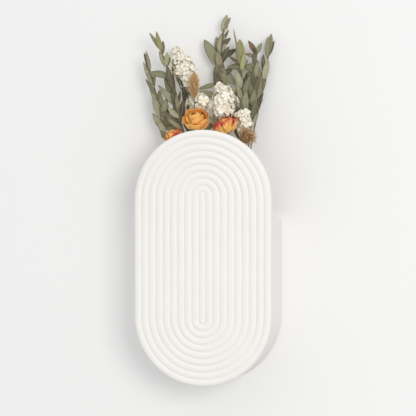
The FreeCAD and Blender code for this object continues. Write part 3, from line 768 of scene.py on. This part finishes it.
# what all petals, bracts and bristles share
petalSkin = {
    "rimShare": 0.8,
    "cloudRatio": 0.5,               # how fine the clouds are beside the wrinkles
    "rough": (0.5, 0.75),
    "bump": (0.4, 0.00018),
    "plain": {"Specular IOR Level": 0.3},
}


# petals: a colour at the root, one over most of the blade, and one at rim and tip
def petalFinish(name, look):
    material, tree = newMaterial(name)
    marks = useGroup(tree, bladeMarks, Veins=look["veins"], Wrinkle=look["wrinkle"], Reach=look["edgeReach"])
    nearRoot = spanned(tree, mark(tree, "along"), (1.0, 0.0), (0.0, look["rootReach"]))
    colour = mixColour(tree, nearRoot, look["body"], look["root"])
    below = maths(tree, "MULTIPLY", mark(tree, "under"), look["underShare"])
    colour = mixColour(tree, below, colour, look["under"])
    clouds = useGroup(
        tree, mottle, Colour=colour, Second=look["cloud"],
        Scale=look["wrinkle"] * petalSkin["cloudRatio"], Amount=look["cloudShare"])
    edged = maths(tree, "MAXIMUM", marks["Tip"], maths(tree, "MULTIPLY", marks["Rim"], petalSkin["rimShare"]))
    edged = maths(tree, "MULTIPLY", edged, spanned(tree, mark(tree, "tone"), look["edgeShare"]))
    colour = mixColour(tree, edged, clouds["Colour"], look["edge"])
    rough = spanned(tree, marks["Height"], petalSkin["rough"])
    finishSurface(tree, colour, rough, marks["Height"], petalSkin["bump"], petalSkin["plain"])
    return material


# stems, and the hearts of the heads
barkSkin = {
    "cloudScale": 330.0, "cloudShare": 0.8, "toothScale": 1600.0,
    "rough": (0.6, 0.85), "bump": (0.5, 0.00015), "plain": {"Specular IOR Level": 0.25},
}
barkColours = {
    "sprigBark": {"colour": (0.155, 0.115, 0.070, 1), "second": (0.23, 0.20, 0.125, 1)},
    "greenStalk": {"colour": (0.165, 0.165, 0.085, 1), "second": (0.24, 0.20, 0.105, 1)},
    "darkHeart": {"colour": (0.060, 0.050, 0.026, 1), "second": (0.12, 0.10, 0.05, 1)},
    "tanHeart": {"colour": (0.42, 0.25, 0.11, 1), "second": (0.60, 0.40, 0.19, 1)},
    "creamHeart": {"colour": (0.96, 0.90, 0.74, 1), "second": (0.88, 0.80, 0.58, 1)},
}
driedLeaf = leafFinish(driedLook)
bark = {name: toothedFinish(name, {**barkSkin, **colours}) for name, colours in barkColours.items()}
print("dried plant finishes made")


# the bunch: a sprig stands on its seat in the grid of stems, passes the rim and ends at its tip.
# rim and tip are shares of the panel's width, of the pocket's depth and, for the tip, of the rise
bunch = {
    "rise": 0.084,
    "footPitch": 0.0028,
    "seatSide": -0.035,           # middle of the seats, as shares of width and depth
    "seatBack": 0.42,
    "stemRadius": 0.0009,
    "stemTaper": 0.55,
    "stemSteps": 44,
    "stemSides": 8,
    "crook": 0.0005,              # how far a stem strays from its curve
    "crookScales": (90, 75),      # across and up
    "crookEase": 8,               # how soon it strays from foot and tip
    "crookSeed": 5,
    "knotSwell": 0.45,
    "knotReach": 0.0012,
    "tipShare": 0.05,             # the last share of the stem gives its heading
    "leafLength": 0.018,
    "leafWidth": 0.0064,
    "leanDegrees": (0, 12, -12),
    "twistDegrees": (12, -18, 26, -8),
}
noise.seed_set(bunch["crookSeed"])        # or the stems' crooks would differ from run to run


def spot(across, out, level):
    return Vector((across * panelWidth, pocketHigh.y - out * pocketDepth, level))


def stemPoints(node, sprig):
    column, line = sprig["seat"]
    foot = spot(bunch["seatSide"], bunch["seatBack"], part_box(node)[0].z)
    foot += Vector((column, -line, 0)) * bunch["footPitch"]
    across, out, above = sprig["tip"]
    tip = spot(across, out, panelHigh.z + above * bunch["rise"])
    return [foot, spot(*sprig["rim"], pocketHigh.z), tip]


# places on the parabola through foot, rim and tip
def stemAt(points, level):
    place = Vector()
    for point in points:
        weight = 1
        for other in points:
            if other is not point:
                weight *= (level - other.z) / (point.z - other.z)
        place += point * weight
    return place


def tipHeading(points):
    low, high = points[1].z, points[2].z
    return (points[2] - stemAt(points, high - bunch["tipShare"] * (high - low))).normalized()


def knotSwell(level, knot):
    return bunch["knotSwell"] * math.exp(-(((level - knot) / bunch["knotReach"]) ** 2))


# knots are levels where the stem swells a little
def addStem(book, points, short=0.0, knots=()):
    foot, _, tip = points
    low, high = foot.z, tip.z - short
    steps = bunch["stemSteps"]
    acrossScale, upScale = bunch["crookScales"]
    spots, radii = [], []
    for step in range(steps + 1):
        share = step / steps
        level = low + share * (high - low)
        noisePlace = Vector((tip.x * acrossScale, tip.y * acrossScale, level * upScale))
        crook = noise.noise_vector(noisePlace) * bunch["crook"]
        ease = min(1, bunch["crookEase"] * share * (1 - share))
        spots.append(stemAt(points, level) + Vector((crook.x, crook.y, 0)) * ease)
        swell = sum(knotSwell(level, knot) for knot in knots)
        radii.append(bunch["stemRadius"] * (1 - share * bunch["stemTaper"] + swell))
    addTube(book, spots, radii, stemSlot, bunch["stemSides"])


# eucalyptus: a leaf is (share of the visible height, degrees from upright, shares of length and width, tone)
# leaves of tone near 0 are nearly black: some are dark dried leaves, some are painted shade set where the
# bunch lies in shadow
leafySprigs = {
    "eucalyptus_sprig_1": {
        "seat": (-2, 1), "rim": (-0.22, 0.43), "tip": (-0.47, 0.36, 0.64),
        "leaves": [
            (0.93, -19, 1.0, 0.4, 0.02), (0.95, -5, 0.95, 0.55, 0.88), (0.71, -30, 1.25, 0.65, 0.66),
            (0.7, -2, 0.75, 0.4, 0.42), (0.57, -31, 0.9, 0.45, 0.3), (0.22, -6, 1.35, 1.2, 0.58),
            (0.22, -26, 1.05, 1.05, 0.6), (0.23, 23, 1.0, 0.75, 0.5), (0.01, -37, 1.1, 0.85, 0.62),
            (0.03, 10, 0.95, 0.95, 0.34), (-0.14, -31, 0.55, 0.7, 0.42),
            (0.4, -28, 1.0, 0.6, 0.62), (0.12, 14, 0.9, 0.8, 0.54), (-0.05, -20, 0.8, 0.8, 0.64),
            (0.3, 128, 1.1, 0.9, 0.52), (0.1, 112, 0.9, 0.8, 0.44),
        ],
    },
    "eucalyptus_sprig_2": {
        "seat": (-2, 2), "rim": (-0.09, 0.57), "tip": (-0.365, 0.54, 0.82),
        "leaves": [
            (0.98, -33, 1.0, 0.42, 0.42), (0.98, -10, 0.9, 0.75, 0.78), (0.93, -2, 0.65, 0.45, 0.97),
            (0.78, -25, 0.85, 0.6, 0.58), (0.79, 7, 0.65, 0.65, 0.74), (0.78, 19, 0.5, 0.55, 0.26),
            (0.66, -75, 1.05, 0.9, 0.38), (0.52, -11, 1.05, 0.75, 0.14), (0.32, -25, 1.5, 1.05, 0.28),
            (0.29, -37, 1.35, 0.8, 0.56), (0.23, -6, 0.8, 0.5, 0.4), (0.16, -50, 0.8, 0.75, 0.68),
            (0.0, -46, 1.35, 0.9, 0.18), (0.02, -51, 0.8, 0.65, 0.6), (0.12, 4, 1.05, 0.7, 0.02),
            (0.42, -8, 1.1, 0.6, 0.08), (0.2, -16, 1.2, 0.7, 0.06), (0.08, -28, 1.2, 0.8, 0.3),
            (0.3, 10, 0.7, 0.4, 0.02),
        ],
    },
    "eucalyptus_sprig_3": {
        "seat": (0, 0), "rim": (-0.025, 0.20), "tip": (0.07, 0.18, 1.025),
        "leaves": [
            (0.96, 12, 0.85, 0.8, 0.66), (1.0, 42, 0.65, 0.55, 0.88), (0.88, 25, 0.6, 0.37, 0.16),
            (0.76, 3, 1.0, 1.2, 0.6), (0.84, 53, 0.57, 0.55, 0.16), (0.75, -23, 0.92, 0.83, 0.44),
            (0.62, -29, 1.48, 1.35, 0.46), (0.62, -4, 0.75, 0.9, 0.88), (0.72, 59, 0.78, 0.68, 0.06),
            (0.47, -5, 0.85, 1.05, 0.32), (0.63, 152, 0.98, 1.25, 0.86), (0.47, -25, 0.45, 0.4, 0.03),
            (0.47, -101, 1.05, 0.6, 0.54), (0.34, -74, 0.9, 0.95, 0.66), (0.44, 24, 0.7, 0.37, 0.03),
            (0.55, 8, 0.8, 0.8, 0.2),
            (0.66, 30, 0.9, 0.8, 0.1), (0.58, -14, 0.9, 0.8, 0.36), (0.5, 14, 0.8, 0.8, 0.3),
            (0.4, -8, 0.9, 0.7, 0.12), (0.4, 10, 0.8, 0.6, 0.5), (0.61, 136, 1.05, 1.15, 0.56),
            (0.54, 62, 0.8, 0.7, 0.24),
        ],
    },
    "eucalyptus_sprig_4": {
        "seat": (2, 1), "rim": (0.205, 0.36), "tip": (0.214, 0.33, 0.675),
        "leaves": [
            (0.97, -4, 1.2, 1.2, 0.8), (0.95, -9, 1.7, 0.3, 0.88), (0.95, -94, 0.65, 0.78, 0.24),
            (0.98, -53, 0.64, 0.45, 0.14), (0.88, 12, 0.85, 0.65, 0.76), (0.52, -61, 1.0, 0.8, 0.7),
            (0.46, -48, 0.56, 0.57, 0.12), (0.17, 9, 1.3, 0.95, 0.58), (0.24, -8, 0.8, 0.6, 0.1),
            (0.33, 30, 0.7, 0.6, 0.52), (0.5, 22, 1.05, 0.7, 0.34),
            (0.75, 8, 1.0, 0.8, 0.62), (0.62, -20, 0.9, 0.7, 0.66), (0.42, -16, 1.0, 0.7, 0.68),
            (0.62, 16, 0.8, 0.5, 0.1),
        ],
    },
    "eucalyptus_sprig_5": {
        "seat": (2, 0), "rim": (0.205, 0.30), "tip": (0.32, 0.22, 0.776),
        "leaves": [
            (0.99, -33, 0.69, 0.6, 1.0), (0.98, -12, 0.36, 0.4, 0.06), (0.99, 24, 0.57, 0.51, 0.42),
            (0.82, -6, 0.7, 0.6, 0.24), (0.78, -62, 0.5, 1.2, 0.3), (0.96, -76, 0.57, 0.48, 0.9),
            (0.51, -33, 1.6, 0.8, 0.6), (0.46, -8, 1.14, 0.52, 0.22), (0.41, -51, 1.1, 0.8, 0.54),
            (0.53, 6, 0.79, 0.54, 0.28), (0.3, 7, 0.9, 0.85, 0.46), (0.1, 18, 0.95, 0.7, 0.26),
            (0.0, 22, 0.95, 0.42, 0.68), (0.6, -9, 0.85, 0.6, 0.3), (0.18, -14, 1.2, 0.85, 0.4),
            (0.42, 12, 1.25, 0.75, 0.22), (0.11, 14, 1.1, 0.7, 0.3), (0.22, 36, 0.9, 0.1, 0.0),
            (0.68, 10, 0.8, 0.6, 0.5), (0.36, -4, 1.1, 0.7, 0.4), (0.26, -20, 1.1, 0.8, 0.62),
            (0.05, -6, 1.1, 0.8, 0.36),
        ],
    },
    "eucalyptus_sprig_6": {
        "seat": (1, 0), "rim": (0.18, 0.21), "tip": (0.407, 0.13, 0.807),
        "leaves": [
            (0.99, 7, 0.76, 0.6, 0.44), (0.89, 1, 0.97, 0.62, 0.5), (0.92, 19, 0.78, 0.43, 0.12),
            (0.69, -6, 0.97, 0.5, 0.22), (0.63, 15, 1.03, 0.78, 0.66), (0.44, 14, 1.14, 0.8, 0.42),
            (0.41, -3, 0.85, 0.6, 0.14), (0.28, 18, 0.8, 0.4, 0.12), (0.23, 2, 1.15, 0.7, 0.36),
            (0.11, 8, 1.1, 0.7, 0.44),
            (0.55, -10, 1.0, 0.6, 0.34), (0.52, 10, 1.0, 0.6, 0.58), (0.34, 4, 1.0, 0.6, 0.5),
            (0.05, 2, 1.0, 0.7, 0.34),
        ],
    },
}


def lanceOutline(along):
    stub, skew = 0.10, 0.85
    return stub + (1 - stub) * math.sin(math.pi * along ** skew) ** skew


# length and width are shares of the leaf's own; the angles are degrees
leafRanges = {
    "length": (1.02, 1.1), "width": (1.1, 1.28), "thick": 0.00045, "fold": (6, 20), "bend": (-20, 20),
    "twist": (-18, 18), "ruffle": (0.03, 0.10), "waves": (0.8, 1.8), "outline": lanceOutline,
    "rows": 11, "cols": 3,
}


def leafLevels(sprig):
    visible = sprig["tip"][2] * bunch["rise"]
    return [panelHigh.z + leaf[0] * visible for leaf in sprig["leaves"]]


def addLeaves(book, points, sprig, slot, rng):
    leans, twists = bunch["leanDegrees"], bunch["twistDegrees"]
    for index, level in enumerate(leafLevels(sprig)):
        _, upright, tall, broad, tone = sprig["leaves"][index]
        tilt = math.radians(upright)
        lean = math.radians(leans[index % len(leans)])
        heading = Vector((math.sin(tilt) * math.cos(lean), -math.sin(lean), math.cos(tilt) * math.cos(lean)))
        side = Vector((math.cos(tilt), 0, -math.sin(tilt)))
        side.rotate(Quaternion(heading, math.radians(twists[index % len(twists)])))
        form = drawForm(leafRanges, rng, length=tall * bunch["leafLength"], width=broad * bunch["leafWidth"])
        addBlade(book, stemAt(points, level), heading, side, form, slot, tone)


def buildLeafySprig(number, node, sprig):
    book = newBook()
    points = stemPoints(node, sprig)
    addStem(book, points, knots=leafLevels(sprig))
    addLeaves(book, points, sprig, bladeSlot, random.Random(number))
    piece = makePiece(f"leafySprig{number}", book, [driedLeaf, bark["sprigBark"]])
    dressNode(piece, node, "bouquet")


for number, (node, sprig) in enumerate(leafySprigs.items(), start=1):
    buildLeafySprig(number, node, sprig)
print("eucalyptus done")


def petalOutline(along):
    stub, start, span, fullness = 0.22, 0.08, 0.80, 0.8
    return stub + (1 - stub) * math.sin(math.pi * (start + span * along)) ** fullness


# white heads: papery florets round a spindle at the end of each stem
# their leaves of tone near 0 are nearly black: some are dark dried leaves, some are painted shade set where
# the bunch lies in shadow
whiteSprigs = {
    "white_sprig_1": {
        "seat": (-2, 0), "rim": (-0.10, 0.28), "tip": (-0.245, 0.24, 0.82),
        "head": 0.44, "girth": 1.22, "fullest": 0.56, "lean": -12,
        "leaves": [
            (0.24, -22, 1.0, 0.55, 0.04), (0.41, -22, 1.1, 0.6, 0.12), (0.53, -24, 1.0, 0.5, 0.0),
        ],
    },
    "white_sprig_2": {
        "seat": (0, 1), "rim": (0.075, 0.45), "tip": (0.095, 0.50, 0.43),
        "head": 0.29, "girth": 1.55, "fullest": 0.38, "lean": -4,
        "leaves": [
            (-0.03, -29, 0.95, 0.7, 0.72), (0.2, 34, 0.7, 0.4, 0.05), (0.0, -48, 1.0, 0.8, 0.68),
            (0.1, 42, 1.1, 0.6, 0.1),
        ],
    },
    "white_sprig_3": {
        "seat": (1, 2), "rim": (0.18, 0.52), "tip": (0.255, 0.53, 0.176),
        "head": 0.21, "girth": 0.8, "fullest": 0.55, "lean": 0,
        "leaves": [
            (0.5, -24, 0.85, 0.5, 0.04), (0.6, -8, 1.0, 0.5, 0.14), (-0.6, -35, 0.8, 0.6, 0.1),
            (-0.5, 30, 0.9, 0.5, 0.06),
        ],
    },
    "white_sprig_4": {
        "seat": (0, 2), "rim": (-0.06, 0.38), "tip": (-0.098, 0.27, 0.335),
        "head": 0.11, "girth": 1.35, "fullest": 0.55, "lean": 0,
        "leaves": [
            (-0.2, -52, 1.1, 0.7, 0.08), (-0.35, -40, 1.1, 0.7, 0.24), (-0.1, 42, 1.0, 0.6, 0.34),
            (-0.3, 56, 1.0, 0.7, 0.14),
        ],
    },
}
floret = {
    "seed": 40,
    "radius": 0.0033,
    "sizes": (0.75, 1.35),
    "coreRadius": 0.006,
    "coreShare": 0.84,
    "coreSteps": 10,
    "coreSides": 14,
    "spacing": 0.0060,           # share of head length and girth for each floret
    "sit": 0.5,                  # how deep florets sit, as a share of their radius
    "level": 0.3,                # florets below this share of the head face down
    "spread": (0.88, 1.12),
    "stands": (0, 0.1, 0.5, 0.9),      # shares of its radius by which a floret may stand out
    "turnSlack": 0.12,
    "lump": 0.34,                # florets stand in lumps, higher and lower by this share of the girth
    "lumpScale": 190.0,
    "seedEvery": 11,             # a dark seed shows in one floret of so many
    "eye": [(0.0, 0.0), (0.16, 0.05), (0.26, 0.50), (0.18, 0.58), (0.0, 0.62)],
    "eyeSides": 6,
    "petals": 5,
    "petalSlack": 0.25,
    "opened": (66, 96),          # degrees
    "petalUp": 0.42,
    "petalOut": 0.14,
    "ranges": {
        "length": (0.9, 1.15), "width": (1.05, 1.4), "thick": 0.00022, "fold": (0, 10), "bend": (-16, 26),
        "twist": (-22, 22), "ruffle": (0.05, 0.2), "waves": 1.3, "outline": petalOutline,
        "rows": 5, "cols": 2,
    },
    "look": {
        "body": (0.97, 0.92, 0.78, 1), "root": (0.93, 0.85, 0.58, 1), "rootReach": 0.35,
        "under": (0.92, 0.87, 0.72, 1), "underShare": 0.4, "cloud": (0.97, 0.93, 0.83, 1), "cloudShare": 0.6,
        "edge": (0.80, 0.70, 0.50, 1), "edgeShare": (0.0, 0.16), "edgeReach": 0.28,
        "veins": 4.0, "wrinkle": 900.0,
    },
}
whitePetal = petalFinish("whitePetal", floret["look"])


def addFloret(book, root, heading, spin, seeded, rng):
    radius = floret["radius"] * rng.uniform(*floret["sizes"])
    eye = [(out * radius, level * radius) for out, level in floret["eye"]]
    addTurned(book, root, heading, eye, seedSlot if seeded else heartSlot, floret["eyeSides"])
    side = heading.orthogonal().normalized()
    slack = floret["petalSlack"]
    for petal in range(floret["petals"]):
        angle = spin + 2 * math.pi * petal / floret["petals"] + rng.uniform(-slack, slack)
        out = side.copy()
        out.rotate(Quaternion(heading, angle))
        opened = math.radians(rng.uniform(*floret["opened"]))
        form = drawForm(floret["ranges"], rng, length=radius, width=radius)
        toward = heading * math.cos(opened) + out * math.sin(opened)
        across = toward.cross(heading).normalized()
        base = root + heading * (floret["petalUp"] * radius) + out * (floret["petalOut"] * radius)
        addBlade(book, base, toward, across, form, bladeSlot, rng.random())


# from 0 at the ends of a head to 1 where it is fullest
def fullness(along, fullest):
    return math.sin(math.pi * along ** (math.log(0.5) / math.log(fullest)))


def addWhiteHead(book, base, axis, length, sprig, rng):
    girth, fullest = sprig["girth"] * floret["coreRadius"], sprig["fullest"]

    def coreRadius(along):
        return floret["coreShare"] * girth * fullness(along, fullest)

    core = spindle(length, floret["coreSteps"], coreRadius)
    addTurned(book, base, axis, core, heartSlot, floret["coreSides"])
    side = axis.cross(Vector((0, 1, 0))).normalized()
    front = axis.cross(side)
    slack = floret["turnSlack"]
    count = int(sprig["head"] * sprig["girth"] / floret["spacing"])
    for index in range(count):
        along = (index + 0.5) / count
        skin = max(0, girth * fullness(along, fullest) - floret["sit"] * floret["radius"])
        skin = skin * rng.uniform(*floret["spread"]) + floret["radius"] * rng.choice(floret["stands"])
        angle = index * goldenAngle + rng.uniform(-slack, slack)
        out = side * math.cos(angle) + front * math.sin(angle)
        centre = base + axis * (along * length)
        skin += noise.noise((centre + out * skin) * floret["lumpScale"]) * floret["lump"] * girth
        heading = (out + axis * (along - floret["level"])).normalized()
        addFloret(book, centre + out * skin, heading, angle, index % floret["seedEvery"] == 0, rng)


def buildWhiteSprig(number, node, sprig):
    rng = random.Random(floret["seed"] + number)
    book = newBook()
    points = stemPoints(node, sprig)
    axis = tipHeading(points)
    length = sprig["head"] * bunch["rise"]
    middle = points[2] - axis * (length / 2)
    axis.rotate(Quaternion((0, 1, 0), math.radians(sprig["lean"])))
    addStem(book, points, short=length / 2)
    addLeaves(book, points, sprig, leafSlot, rng)
    addWhiteHead(book, middle - axis * (length / 2), axis, length, sprig, rng)
    materials = [whitePetal, bark["greenStalk"], bark["creamHeart"], driedLeaf, bark["darkHeart"]]
    piece = makePiece(f"whiteSprig{number}", book, materials)
    dressNode(piece, node, "bouquet")


for number, (node, sprig) in enumerate(whiteSprigs.items(), start=1):
    buildWhiteSprig(number, node, sprig)
print("white heads done")


def bractOutline(along):
    stub, fullest, closing = 0.35, 0.55, 0.46        # closing a little past the tip leaves it blunt
    if along < fullest:
        return stub + (1 - stub) * math.sin(math.pi / 2 * along / fullest)
    return math.sqrt(1 - ((along - fullest) / closing) ** 2)


# orange flowers: broad papery bracts that close over each other like a cup
orangeFlowers = {
    "orange_flower_1": {
        "seat": (0, 3), "rim": (-0.05, 0.67), "tip": (-0.078, 0.665, 0.06),
        "opens": (0.1, -0.8, 0.6), "size": 1.05, "spread": 1.06, "closed": 1.0,
        "red": 0.3, "redSide": (0.8, -0.1, 0.6),
    },
    "orange_flower_2": {
        "seat": (1, 3), "rim": (0.07, 0.67), "tip": (0.155, 0.71, -0.02),
        "opens": (-0.42, -0.2, 0.88), "size": 0.95, "spread": 1.16, "closed": 0.95,
        "red": 1.9, "redSide": (-0.8, -0.1, 0.5),
    },
    "orange_flower_3": {
        "seat": (-1, 3), "rim": (-0.14, 0.67), "tip": (-0.235, 0.68, -0.1),
        "opens": (-0.3, -0.4, 0.85), "size": 0.8, "spread": 1.06, "closed": 0.9,
        "red": 0.8, "redSide": (0.3, -0.6, 0.6),
    },
}
cup = {
    "seed": 70,
    "radius": 0.0105,
    "height": 0.011,
    "sink": 0.1,
    "base": [(0.0, -0.02), (0.16, 0.0), (0.34, 0.10), (0.30, 0.26), (0.0, 0.34)],
    "baseSides": 12,
    # a ring of bracts: count, distance out, level, degrees open, bend, length and width
    "rings": [
        (7, 0.24, 0.05, 92, 96, 1.34, 1.10),
        (6, 0.24, 0.10, 78, 100, 1.30, 1.12),
        (6, 0.22, 0.15, 66, 112, 1.28, 1.10),
        (5, 0.18, 0.20, 56, 132, 1.34, 1.12),
        (4, 0.12, 0.24, 44, 128, 1.22, 1.05),
        (3, 0.06, 0.28, 26, 92, 1.00, 0.85),
    ],
    "turnSlack": 0.14,
    "leanSlack": 8,
    "innerRed": 0.35,            # how red the innermost bracts' edges are beside the outermost
    "evenRed": 0.75,             # share of the red all round, and what its side adds or takes
    "sideRed": 0.5,
    "redSpread": (0.6, 1.6),
    "ranges": {
        "length": (0.92, 1.04), "width": 1.0, "thick": 0.00035, "fold": (14, 28), "bend": (0.88, 1.08),
        "twist": (-14, 14), "ruffle": (0.05, 0.16), "waves": (1.2, 2.2), "outline": bractOutline,
        "rows": 10, "cols": 4,
    },
    "look": {
        "body": (1.0, 0.56, 0.14, 1), "root": (1.0, 0.54, 0.13, 1), "rootReach": 0.5,
        "under": (1.0, 0.54, 0.13, 1), "underShare": 0.6, "cloud": (1.0, 0.66, 0.24, 1), "cloudShare": 0.6,
        "edge": (0.52, 0.035, 0.040, 1), "edgeShare": (0.0, 1.0), "edgeReach": 0.42,
        "veins": 6.0, "wrinkle": 520.0,
    },
}
orangePetal = petalFinish("orangePetal", cup["look"])


def buildOrangeFlower(number, node, sprig):
    rng = random.Random(cup["seed"] + number)
    book = newBook()
    points = stemPoints(node, sprig)
    axis, redSide = Vector(sprig["opens"]).normalized(), Vector(sprig["redSide"]).normalized()
    base = points[2] - axis * (cup["sink"] * sprig["size"] * cup["height"])
    radius = sprig["size"] * sprig["spread"] * cup["radius"]
    addStem(book, points)
    profile = [(out * radius, level * radius) for out, level in cup["base"]]
    addTurned(book, base, axis, profile, stemSlot, cup["baseSides"])
    side = axis.orthogonal().normalized()
    for ring, (count, out, level, opened, bend, length, width) in enumerate(cup["rings"]):
        inward = ring / (len(cup["rings"]) - 1)
        red = sprig["red"] * (1 - inward * (1 - cup["innerRed"]))
        for bract in range(count):
            slack = rng.uniform(-cup["turnSlack"], cup["turnSlack"])
            away = side.copy()
            away.rotate(Quaternion(axis, 2 * math.pi * (bract + 0.5 * (ring % 2)) / count + slack))
            lean = math.radians(sprig["closed"] * opened + rng.uniform(-cup["leanSlack"], cup["leanSlack"]))
            toward = axis * math.cos(lean) + away * math.sin(lean)
            across = toward.cross(axis).normalized()
            form = drawForm(cup["ranges"], rng, length=length * radius, width=width * radius, bend=bend)
            root = base + axis * (level * radius) + away * (out * radius)
            facing = cup["evenRed"] + cup["sideRed"] * away.dot(redSide)
            tone = min(1, red * facing * rng.uniform(*cup["redSpread"]))
            addBlade(book, root, toward, across, form, bladeSlot, tone)
    piece = makePiece(f"orangeFlower{number}", book, [orangePetal, bark["greenStalk"]])
    dressNode(piece, node, "bouquet")


for number, (node, sprig) in enumerate(orangeFlowers.items(), start=1):
    buildOrangeFlower(number, node, sprig)
print("orange flowers done")


def spikeOutline(along):
    taper = 0.75
    return 1.0 - taper * along


# brown heads: dry bristles round a short spindle
brownHeads = {
    "brown_head_1": {
        "seat": (-1, 1), "rim": (-0.105, 0.50), "tip": (-0.112, 0.56, 0.36), "points": (0.02, -0.1, 1.0),
        "tall": 1.25, "girth": 1.2, "paleness": 1.0, "shade": 1.0, "spray": 1.0,
    },
    "brown_head_2": {
        "seat": (2, 3), "rim": (0.16, 0.68), "tip": (0.253, 0.72, -0.1), "points": (0.78, -0.2, 0.55),
        "tall": 0.75, "girth": 1.6, "paleness": 0.8, "shade": 0.74, "spray": 1.25,
    },
}
bristle = {
    "seed": 90,
    "headLength": 0.018,
    "headRadius": 0.0042,
    "sink": 0.1,
    "count": 340,
    "core": 0.5,
    "coreLength": 0.94,
    "coreSteps": 8,
    "coreSides": 10,
    "bluntness": 0.5,            # 1 is a pointed head, less a blunter one
    "endShare": 0.04,            # the first and last bristles are this far in from the ends
    "rootLength": 0.86,          # bristles stand on this share of the head's length
    "rootSink": 0.8,
    "turnSlack": 0.3,
    "outward": (0.7, 1.1),
    "forward": (0.3, 0.9),
    "ranges": {
        "length": (0.6, 1.15), "width": (0.0006, 0.0013), "thick": 0.0003, "fold": 15, "bend": (-30, 30),
        "outline": spikeOutline, "rows": 3, "cols": 1,
    },
    "look": {
        "body": (0.74, 0.47, 0.215, 1), "root": (0.38, 0.21, 0.085, 1), "rootReach": 0.4,
        "under": (0.62, 0.38, 0.17, 1), "underShare": 0.5, "cloud": (0.80, 0.58, 0.33, 1), "cloudShare": 0.6,
        "edge": (0.82, 0.66, 0.44, 1), "edgeShare": (0.1, 0.9), "edgeReach": 0.4,
        "veins": 3.0, "wrinkle": 800.0,
    },
}


# the look with its main colours made darker by a share
def shaded(look, share):
    darker = {}
    for key in ("body", "root", "under", "cloud"):
        darker[key] = (*(part * share for part in look[key][:3]), 1)
    return {**look, **darker}


def bristleReach(along):
    return math.sin(math.pi * along) ** bristle["bluntness"]


def addBristles(book, base, axis, length, sprig, rng):
    girth, ends, slack = sprig["girth"] * bristle["headRadius"], bristle["endShare"], bristle["turnSlack"]

    def coreRadius(along):
        return bristle["core"] * girth * bristleReach(along)

    core = spindle(length * bristle["coreLength"], bristle["coreSteps"], coreRadius)
    addTurned(book, base, axis, core, heartSlot, bristle["coreSides"])
    side = axis.orthogonal().normalized()
    other = axis.cross(side)
    for index in range(bristle["count"]):
        along = (index + 0.5) / bristle["count"]
        angle = index * goldenAngle + rng.uniform(-slack, slack)
        out = side * math.cos(angle) + other * math.sin(angle)
        full = girth * bristleReach(ends + (1 - 2 * ends) * along)
        root = base + axis * (along * length * bristle["rootLength"])
        root += out * (full * bristle["core"] * bristle["rootSink"])
        toward = out * rng.uniform(*bristle["outward"]) + axis * rng.uniform(*bristle["forward"])
        toward.normalize()
        form = drawForm(bristle["ranges"], rng, length=sprig["spray"] * full)
        tone = sprig["paleness"] * rng.random()
        addBlade(book, root, toward, toward.cross(out).normalized(), form, bladeSlot, tone)


def buildBrownHead(number, node, sprig):
    book = newBook()
    points = stemPoints(node, sprig)
    axis = Vector(sprig["points"]).normalized()
    length = sprig["tall"] * bristle["headLength"]
    addStem(book, points)
    base = points[2] - axis * (bristle["sink"] * length)
    addBristles(book, base, axis, length, sprig, random.Random(bristle["seed"] + number))
    bristles = petalFinish(f"brownBristle{number}", shaded(bristle["look"], sprig["shade"]))
    piece = makePiece(f"brownHead{number}", book, [bristles, bark["sprigBark"], bark["tanHeart"]])
    dressNode(piece, node, "bouquet")


for number, (node, sprig) in enumerate(brownHeads.items(), start=1):
    buildBrownHead(number, node, sprig)
print("brown heads done")


# rubber band: two turns of a flat strand round the stems
band = {
    "turns": 2,
    "corner": 0.0022,
    "thick": 0.0010,
    "cornerSteps": 8,
    "strandSides": 10,
    "wobble": 0.00025,
    "look": {
        "colour": (0.46, 0.29, 0.15, 1), "second": (0.36, 0.21, 0.10, 1),
        "cloudScale": 420.0, "cloudShare": 0.8, "toothScale": 1800.0,
        "rough": (0.45, 0.65), "bump": (0.3, 0.0001), "plain": {"Specular IOR Level": 0.4},
    },
}


# middle of the strand and the way out from it, all round one turn
def strandPath(turn, low, tall, high):
    inward = band["corner"] + band["thick"] / 2
    path = []
    corners = [(high.x, high.y, 0), (low.x, high.y, 90), (low.x, low.y, 180), (high.x, low.y, 270)]
    for cornerX, cornerY, start in corners:
        centreX = cornerX - math.copysign(inward, cornerX - (low.x + high.x) / 2)
        centreY = cornerY - math.copysign(inward, cornerY - (low.y + high.y) / 2)
        for step in range(band["cornerSteps"] + 1):
            angle = math.radians(start + 90 * step / band["cornerSteps"])
            away = Vector((math.cos(angle), math.sin(angle), 0))
            middle = Vector((centreX, centreY, low.z + tall * (turn + 0.5))) + away * band["corner"]
            middle.z += band["wobble"] * math.sin(2 * angle + turn * 2)
            path.append((middle, away))
    return path


def buildBand():
    low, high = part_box("stem_band")
    tall = (high.z - low.z) / band["turns"]
    halfThick, halfTall, sides = band["thick"] / 2, tall / 2 - band["wobble"], band["strandSides"]
    book = newBook()
    for turn in range(band["turns"]):
        rings = []
        for middle, away in strandPath(turn, low, tall, high):
            ring = []
            for side in range(sides):
                around = 2 * math.pi * side / sides
                lift = Vector((0, 0, math.sin(around) * halfTall))
                ring.append(addVert(book, middle + away * (math.cos(around) * halfThick) + lift))
            rings.append(ring)
        skinRings(book, rings + rings[:1])
    return makePiece("rubberBand", book, [toothedFinish("naturalRubber", band["look"])])


dressNode(buildBand(), "stem_band", "bouquet")
print("rubber band done")
